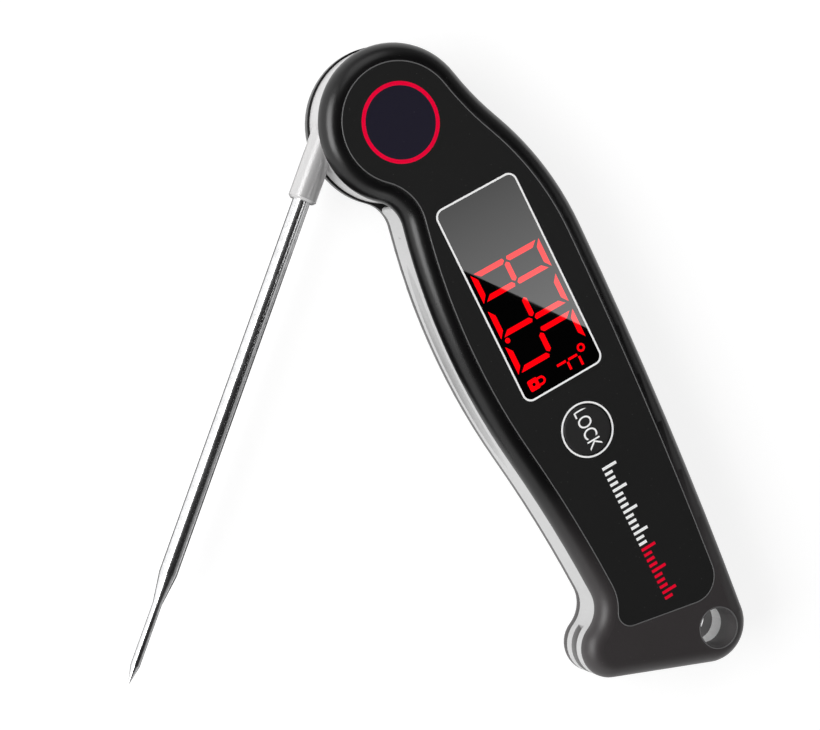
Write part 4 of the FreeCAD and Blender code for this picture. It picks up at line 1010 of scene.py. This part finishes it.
@dataclass(frozen=True)
class UnitSign:
    """Degree sign and letter F, from their lower left corner."""

    stroke: float = 0.56 * MM
    stem_x: float = 1.1 * MM
    top: float = 5.8 * MM
    waist: float = 2.75 * MM
    waist_gap: float = 0.35 * MM
    top_arm: float = 2.7 * MM
    waist_arm: float = 2.3 * MM
    degree_place: Flat = (0.1 * MM, 7.1 * MM)
    degree_radii: Flat = (1.0 * MM, 0.52 * MM)
    points: int = 32

    def outlines(self, x: float, y: float) -> list[list[Flat]]:
        """Outlines of the bars and the two rings of the degree sign.

        Args:
            x: left side of the sign.
            y: foot of the letter.

        Returns:
            The outlines.
        """
        thin, stem, top, waist = self.stroke / 2, x + self.stem_x, y + self.top, y + self.waist
        bars = ((stem - thin, y, stem + thin, waist - self.waist_gap),
                (stem - thin, waist + self.waist_gap, stem + thin, top - thin),
                (stem + 2 * thin, top - thin, stem + self.top_arm, top + thin),
                (stem + 1.4 * thin, waist - thin, stem + self.waist_arm, waist + thin))
        centre = (x + self.degree_place[0], y + self.degree_place[1])
        return ([ring_points(centre, radius, self.points) for radius in self.degree_radii]
                + [[(a, b), (c, b), (c, d), (a, d)] for a, b, c, d in bars])


@dataclass(frozen=True)
class PadlockSign:
    """Padlock with its keyhole and bow, from the middle of its foot."""

    half_width: float = 0.9 * MM
    half_height: float = 0.85 * MM
    body_y: float = 1.3 * MM
    corner: float = 0.45 * MM
    keyhole_y: float = 1.35 * MM
    keyhole: float = 0.42 * MM
    bow_y: float = 3.35 * MM
    bow_foot: float = 2.62 * MM
    bow_outer: float = 1.05 * MM
    bow_inner: float = 0.55 * MM
    corner_points: int = 6
    points: int = 20

    def outlines(self, x: float, y: float) -> list[list[Flat]]:
        """Outlines of the body, the keyhole in it and the bow.

        Args:
            x: middle of the sign.
            y: its foot.

        Returns:
            The outlines.
        """
        body: list[Flat] = []
        for quarter, (across, along) in enumerate(((1, 1), (-1, 1), (-1, -1), (1, -1))):
            centre = (x + across * self.half_width, y + self.body_y + along * self.half_height)
            body += ring_points(centre, self.corner, self.corner_points, 90.0 * quarter, 90.0)
        keyhole = ring_points((x, y + self.keyhole_y), self.keyhole, self.points)
        crown, foot, outer, inner = (x, y + self.bow_y), y + self.bow_foot, self.bow_outer, self.bow_inner
        bow = [(x + outer, foot), *ring_points(crown, outer, self.points, 0.0, 180.0), (x - outer, foot),
               (x - inner, foot), *ring_points(crown, inner, self.points, 180.0, -180.0), (x + inner, foot)]
        return [body, keyhole, bow]


@dataclass
class Readout:
    """Lit segments, unit and padlock on the display under the window."""

    wardrobe: Wardrobe
    digits: str = "835"
    first_x: float = 16.75 * MM
    base_y: float = 1.70 * MM
    pitch: float = 9.0 * MM
    width: float = 5.75 * MM
    middle: float = 8.45 * MM
    height: float = 17.2 * MM
    stroke: float = 1.25 * MM
    gap: float = 0.36 * MM
    slant: float = 0.2
    skin: float = 0.01 * MM
    dot_pitches: float = 1.815
    dot_y: float = 0.6 * MM
    dot_radius: float = 0.62 * MM
    dot_points: int = 24
    unit_place: Flat = (26.0 * MM, 8.5 * MM)
    padlock_place: Flat = (28.1 * MM, 0.3 * MM)

    def build(self) -> None:
        """Builds the lit pieces."""
        low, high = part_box("display_window")
        self.x, self.y = low.x + self.first_x, low.y + self.base_y
        self.face = high.z
        self.lit("digit_segments", self.digit_outlines())
        self.lit("unit_sign", UnitSign().outlines(self.x + self.unit_place[0], self.y + self.unit_place[1]))
        self.lit("padlock_sign", PadlockSign().outlines(self.x + self.padlock_place[0],
                                                        self.y + self.padlock_place[1]))

    def lit(self, name: str, outlines: Sequence[Sequence[Flat]]) -> None:
        """Makes one lit piece from its outlines."""
        piece = flat_shape(name, outlines, self.face - self.skin, self.face + self.skin,
                           self.wardrobe.materials[Finish.GLOW])
        settle(piece, Body.CASE)

    def segment(self, letter: str, x: float) -> list[Flat]:
        """Outline of one segment of a digit.

        Args:
            letter: which segment, a to g.
            x: the digit's left spine.

        Returns:
            The outline.
        """
        half, gap = self.stroke / 2, self.gap
        near, tip = half + gap, gap + half * self.slant
        far = self.width - near
        column = line = 0.0
        if letter == "g":
            line = self.middle
            shape = [(tip, 0.0), (near, half), (far, half), (self.width - tip, 0.0), (far, -half),
                     (near, -half)]
        elif letter in "ad":
            line, out = (self.height, half) if letter == "a" else (0.0, -half)
            shape = [(-half, out), (self.width + half, out), (far, -out), (near, -out)]
        else:
            column, out = (self.width, half) if letter in "bc" else (0.0, -half)
            end, turn = (self.height, -1) if letter in "bf" else (0.0, 1)
            shape = [(out, end + turn * (gap - half * self.slant)), (-out, end + turn * (gap + self.stroke)),
                     (-out, self.middle - turn * near), (0.0, self.middle - turn * gap),
                     (out, self.middle - turn * (gap + 2 * half * self.slant))]
        return [(x + column + across, self.y + line + along) for across, along in shape]

    def digit_outlines(self) -> list[list[Flat]]:
        """Outlines of every lit segment and of the decimal point."""
        lit = [self.segment(letter, self.x + place * self.pitch)
               for place, digit in enumerate(self.digits) for letter in SEGMENTS_LIT[digit]]
        dot = (self.x + self.dot_pitches * self.pitch, self.y + self.dot_y)
        return [*lit, ring_points(dot, self.dot_radius, self.dot_points)]


@dataclass
class HoldKey:
    """Press button with a dished top and its generic word."""

    wardrobe: Wardrobe
    word: str = "LOCK"
    dish: float = 0.07 * MM
    dish_reach: float = 0.9
    dish_steps: tuple[float, ...] = (0.0, 0.3, 0.6, 0.8)
    edge: float = 0.30 * MM
    edge_points: int = 6
    smooth_angle: float = 35.0
    relief: float = 0.04 * MM
    relief_radius: float = 3.6 * MM
    cap_band: float = 0.6 * MM
    flange_band: float = 0.02 * MM
    word_width: float = 9.7 * MM
    word_height: float = 3.4 * MM
    word_place: Flat = (-0.1 * MM, 0.2 * MM)
    word_root: float = 0.03 * MM
    word_sink: float = 0.008 * MM
    turns: int = 96

    def build(self) -> None:
        """Builds the button and its word."""
        low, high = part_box("hold_button")
        self.centre = middle_of("hold_button")
        self.top, self.bottom, self.flange = high.z, low.z, (high.x - low.x) / 2
        self.cap()
        self.lettering()

    def cap(self) -> None:
        """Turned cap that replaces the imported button."""
        shape = merged_copy("hold_button")
        reach = [(math.dist(point.co.xy, self.centre), point.co.z) for point in shape.verts]
        shape.free()
        radius = max(far for far, height in reach if self.top - height < self.cap_band)
        flange_top = max(height for far, height in reach if self.flange - far < self.flange_band)
        dish = [(radius * part, self.top - self.dish * (1 - (part / self.dish_reach) ** 2))
                for part in self.dish_steps]
        arc = ring_points((radius - self.edge, self.top - self.edge), self.edge, self.edge_points, 90.0, -90.0)
        relief = self.bottom + self.relief
        profile = dish + arc + [(radius, flange_top), (self.flange, flange_top), (self.flange, self.bottom),
                                (self.relief_radius, self.bottom), (self.relief_radius, relief), (0.0, relief)]
        cap = bmesh.new()
        points = [cap.verts.new((self.centre[0] + far, self.centre[1], height)) for far, height in profile]
        edges = [cap.edges.new(pair) for pair in zip(points, points[1:])]
        bmesh.ops.spin(cap, geom=points + edges, cent=(*self.centre, 0.0), axis=(0, 0, 1),
                       angle=math.tau, steps=self.turns)
        mesh = bpy.data.meshes.new("hold_key")
        cap.to_mesh(mesh)
        cap.free()
        mesh.materials.append(self.wardrobe.materials[Finish.BUTTON])
        tidy_mesh(mesh, self.smooth_angle)
        settle(new_piece("hold_key", mesh), Body.BUTTON, ["hold_button"])

    def lettering(self) -> None:
        """White word on the cap."""
        text = bpy.data.curves.new("key_word", "FONT")
        text.body = self.word
        text.align_x, text.align_y = "CENTER", "CENTER"
        text.extrude = 0.5
        mesh = curve_mesh(text, Matrix.Identity(4), self.wardrobe.materials[Finish.INK])
        thick = self.dish + self.word_root
        sizes = (self.word_width, self.word_height, thick)
        place = (self.centre[0] + self.word_place[0], self.centre[1] + self.word_place[1],
                 self.top - self.word_sink - thick / 2)
        for axis in range(3):
            parts = [point.co[axis] for point in mesh.vertices]
            low, high = min(parts), max(parts)
            for point, part in zip(mesh.vertices, parts):
                point.co[axis] = place[axis] + (part - (low + high) / 2) * sizes[axis] / (high - low)
        settle(new_piece("key_word", mesh), Body.BUTTON)


# ---- studio


def sheet(name: str, corners: Iterable[Sequence[float]], material: Material) -> Object:
    """Makes a flat four-cornered piece of the studio.

    Args:
        name: its name.
        corners: its four corners in order.
        material: its finish.

    Returns:
        The piece.
    """
    mesh = bpy.data.meshes.new(name)
    mesh.from_pydata([tuple(corner) for corner in corners], [], [(0, 1, 2, 3)])
    mesh.materials.append(material)
    return new_piece(name, mesh)


@dataclass(frozen=True)
class Softbox:
    """A soft rectangular light, placed by its direction from the thermometer."""

    name: str
    direction: tuple[float, float, float]
    distance: float
    width: float
    height: float
    watts: float


@dataclass
class Studio:
    """Pale floor, white walls, soft lights, and the cards that the steel and the window mirror."""

    aim: Vector
    floor_size: float = 12.0
    floor_drop: float = 0.15 * MM
    floor_base: float = 0.35
    floor_glow: float = 0.80
    floor_shine: float = 0.1
    matt: float = 0.9
    wall_glow: float = 0.95
    ceiling_fade: tuple[float, ...] = (0.42, 0.72, 1.0, 0.03)
    side_fade: tuple[float, ...] = (-0.6, 0.5, 1.0, 0.25)
    flag_base: float = 0.01
    flag_left: float = 9 * MM
    flag_right: float = 45 * MM
    flag_end: float = 12 * MM
    flag_gap: float = 1.5 * MM
    glare_rise: float = 0.30
    glare_foot: Flat = (14.6 * MM, 0.5 * MM)
    glare_head: Flat = (39.5 * MM, -0.25 * MM)
    glare_margin: float = 3 * MM
    glare_glow: Flat = (2.2, 6.2)
    softboxes: tuple[Softbox, ...] = (
        Softbox("key_light", (-0.42, -0.78, 0.62), 1.0, 0.9, 0.55, 9.2),
        Softbox("fill_light", (0.35, 0.85, 0.52), 1.1, 0.7, 0.4, 0.5),
        Softbox("top_light", (-0.75, 0.25, 0.75), 1.1, 0.6, 0.6, 1.6),
        Softbox("foot_light", (0.95, -0.25, 0.45), 1.1, 0.6, 0.4, 0.5),
    )

    def build(self, eye: Vector) -> None:
        """Builds the whole studio.

        Args:
            eye: place of the camera.
        """
        self.floor()
        self.world()
        for softbox in self.softboxes:
            self.light(softbox)
        self.probe_flag()
        self.glare_card(eye)

    def floor(self) -> None:
        """Plain pale floor, clear from below."""
        half, height = self.floor_size / 2, -self.floor_drop
        material, desk, shader = new_material("floor_white")
        desk.feed(shader, {"Base Color": opaque(grey(self.floor_base)), "Roughness": self.matt,
                           "Specular IOR Level": self.floor_shine, "Emission Color": opaque(grey(1.0)),
                           "Emission Strength": self.floor_glow})
        under = desk.add("ShaderNodeMixShader", {
            0: desk.add("ShaderNodeNewGeometry").outputs["Backfacing"], 1: shader.outputs[0],
            2: desk.add("ShaderNodeBsdfTransparent").outputs[0]})
        output = next(node for node in desk.tree.nodes if node.type == "OUTPUT_MATERIAL")
        desk.feed(output, {"Surface": under.outputs[0]})
        corners = raised(((-half, -half), (half, -half), (half, half), (-half, half)), height)
        sheet("studio_floor", corners, material)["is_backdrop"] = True

    def world(self) -> None:
        """White walls, dimmer on the far side, and a dark ceiling."""
        world = bpy.data.worlds.new("studio_world")
        world.use_nodes = True
        world.node_tree.nodes.clear()
        desk = Desk(world.node_tree)
        around = desk.add("ShaderNodeTexCoord").outputs["Generated"]
        walls = desk.math("MULTIPLY", desk.spread(desk.axis(around, 2), *self.ceiling_fade),
                          desk.spread(desk.axis(around, 1), *self.side_fade))
        seen = desk.add("ShaderNodeLightPath").outputs["Is Camera Ray"]
        background = desk.add("ShaderNodeBackground", {"Color": desk.math("MAXIMUM", walls, seen),
                                                       "Strength": self.wall_glow})
        desk.add("ShaderNodeOutputWorld", {0: background.outputs[0]})
        bpy.context.scene.world = world

    def light(self, softbox: Softbox) -> None:
        """Places one soft light, turned to the thermometer.

        Args:
            softbox: the light's sizes and place.
        """
        data = bpy.data.lights.new(softbox.name, "AREA")
        data.shape = "RECTANGLE"
        data.size, data.size_y, data.energy = softbox.width, softbox.height, softbox.watts
        lamp = bpy.data.objects.new(softbox.name, data)
        away = Vector(softbox.direction).normalized()
        lamp.location = self.aim + away * softbox.distance
        lamp.rotation_mode = "QUATERNION"
        lamp.rotation_quaternion = away.to_track_quat("Z", "Y")
        bpy.context.scene.collection.objects.link(lamp)

    def probe_flag(self) -> None:
        """Dark strip under the open probe, which only mirrored rays see, so that the steel has dark sides."""
        low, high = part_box("probe_tube")
        tip = Vector((high.x, low.y, -self.floor_drop / 2))
        back = Vector((-math.cos(PROBE_TURN), math.sin(PROBE_TURN), 0.0))
        right = Vector((math.sin(PROBE_TURN), math.cos(PROBE_TURN), 0.0))
        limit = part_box("front_cover")[0].y - self.flag_gap
        sides = [tip + right * side for side in (-self.flag_left, self.flag_right)]
        corners = [side - back * self.flag_end for side in sides]
        corners += [side + back * (limit - side.y) / back.y for side in reversed(sides)]
        material, desk, shader = new_material("flag_black")
        desk.feed(shader, {"Base Color": opaque(grey(self.flag_base)), "Roughness": self.matt,
                           "Specular IOR Level": 0.0})
        flag = sheet("probe_flag", corners, material)
        flag.visible_camera = flag.visible_diffuse = flag.visible_shadow = False
        flag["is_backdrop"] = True

    def glare_card(self, eye: Vector) -> None:
        """Card whose mirrored outline lies across the window.

        Args:
            eye: place of the camera.
        """
        low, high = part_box("display_window")
        foot_x, foot_y = low.x + self.glare_foot[0], low.y + self.glare_foot[1]
        head_x, head_y = low.x + self.glare_head[0], high.y + self.glare_head[1]
        slope = (head_x - foot_x) / (head_y - foot_y)
        left, near, far = low.x - self.glare_margin, low.y - self.glare_margin, high.y + self.glare_margin
        outline = [(left, near), (foot_x + slope * (near - foot_y), near),
                   (foot_x + slope * (far - foot_y), far), (left, far)]
        mirrored = Vector((eye.x, eye.y, 2 * high.z - eye.z))
        reach = (high.z + self.glare_rise - mirrored.z) / (high.z - mirrored.z)
        corners = [mirrored + (corner - mirrored) * reach for corner in raised(outline, high.z)]
        xs = [corner.x for corner in corners]
        material, desk, glow = new_material("card_light", "ShaderNodeEmission")
        strength = desk.spread(desk.axis(desk.here(), 0), min(xs), max(xs), *self.glare_glow)
        desk.feed(glow, {"Strength": strength})
        card = sheet("glare_card", corners, material)
        card.visible_camera = card.visible_diffuse = card.visible_shadow = False
        card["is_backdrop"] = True


@dataclass(frozen=True)
class Viewpoint:
    """Where the camera stands and how it is turned, with its angles in degrees."""

    aim: Flat = (48.31 * MM, -22.97 * MM)
    azimuth: float = -123.716
    elevation: float = 70.710
    roll: float = 95.680
    distance: float = 0.5224
    lens: float = 103.7
    sensor: float = 36.0
    clip_start: float = 0.01
    clip_end: float = 100.0

    def place(self, height: float) -> Object:
        """Makes the camera.

        Args:
            height: height of the face that it aims at.

        Returns:
            The camera.
        """
        azimuth, elevation, roll = (math.radians(turn) for turn in (self.azimuth, self.elevation, self.roll))
        back = Vector((math.cos(azimuth) * math.cos(elevation), math.sin(azimuth) * math.cos(elevation),
                       math.sin(elevation)))
        level = Vector((-math.sin(azimuth), math.cos(azimuth), 0.0))
        right = level * math.cos(roll) + back.cross(level) * math.sin(roll)
        up = back.cross(right)
        data = bpy.data.cameras.new("studio_camera")
        data.lens, data.sensor_width = self.lens, self.sensor
        data.clip_start, data.clip_end = self.clip_start, self.clip_end
        camera = bpy.data.objects.new("studio_camera", data)
        turn = Matrix((right, up, back)).transposed().to_4x4()
        camera.matrix_world = Matrix.Translation(Vector((*self.aim, height)) + back * self.distance) @ turn
        bpy.context.scene.collection.objects.link(camera)
        bpy.context.scene.camera = camera
        return camera


def main() -> None:
    """Builds the camera, the dressed parts, the added pieces and the studio, in that order."""
    logging.basicConfig(level=logging.INFO, format="%(message)s")
    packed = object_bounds()
    camera = Viewpoint().place(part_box("face_plate")[1].z)
    wardrobe = Wardrobe()
    wardrobe.dress(frame["nodes"])
    trees = Trees()
    FacePrint(trees, wardrobe).build()
    Readout(wardrobe).build()
    HoldKey(wardrobe).build()
    Studio(aim=(packed[0] + packed[1]) / 2).build(camera.location)
    bpy.context.scene.view_settings.view_transform = "Standard"


if __name__ == "__main__":
    main()
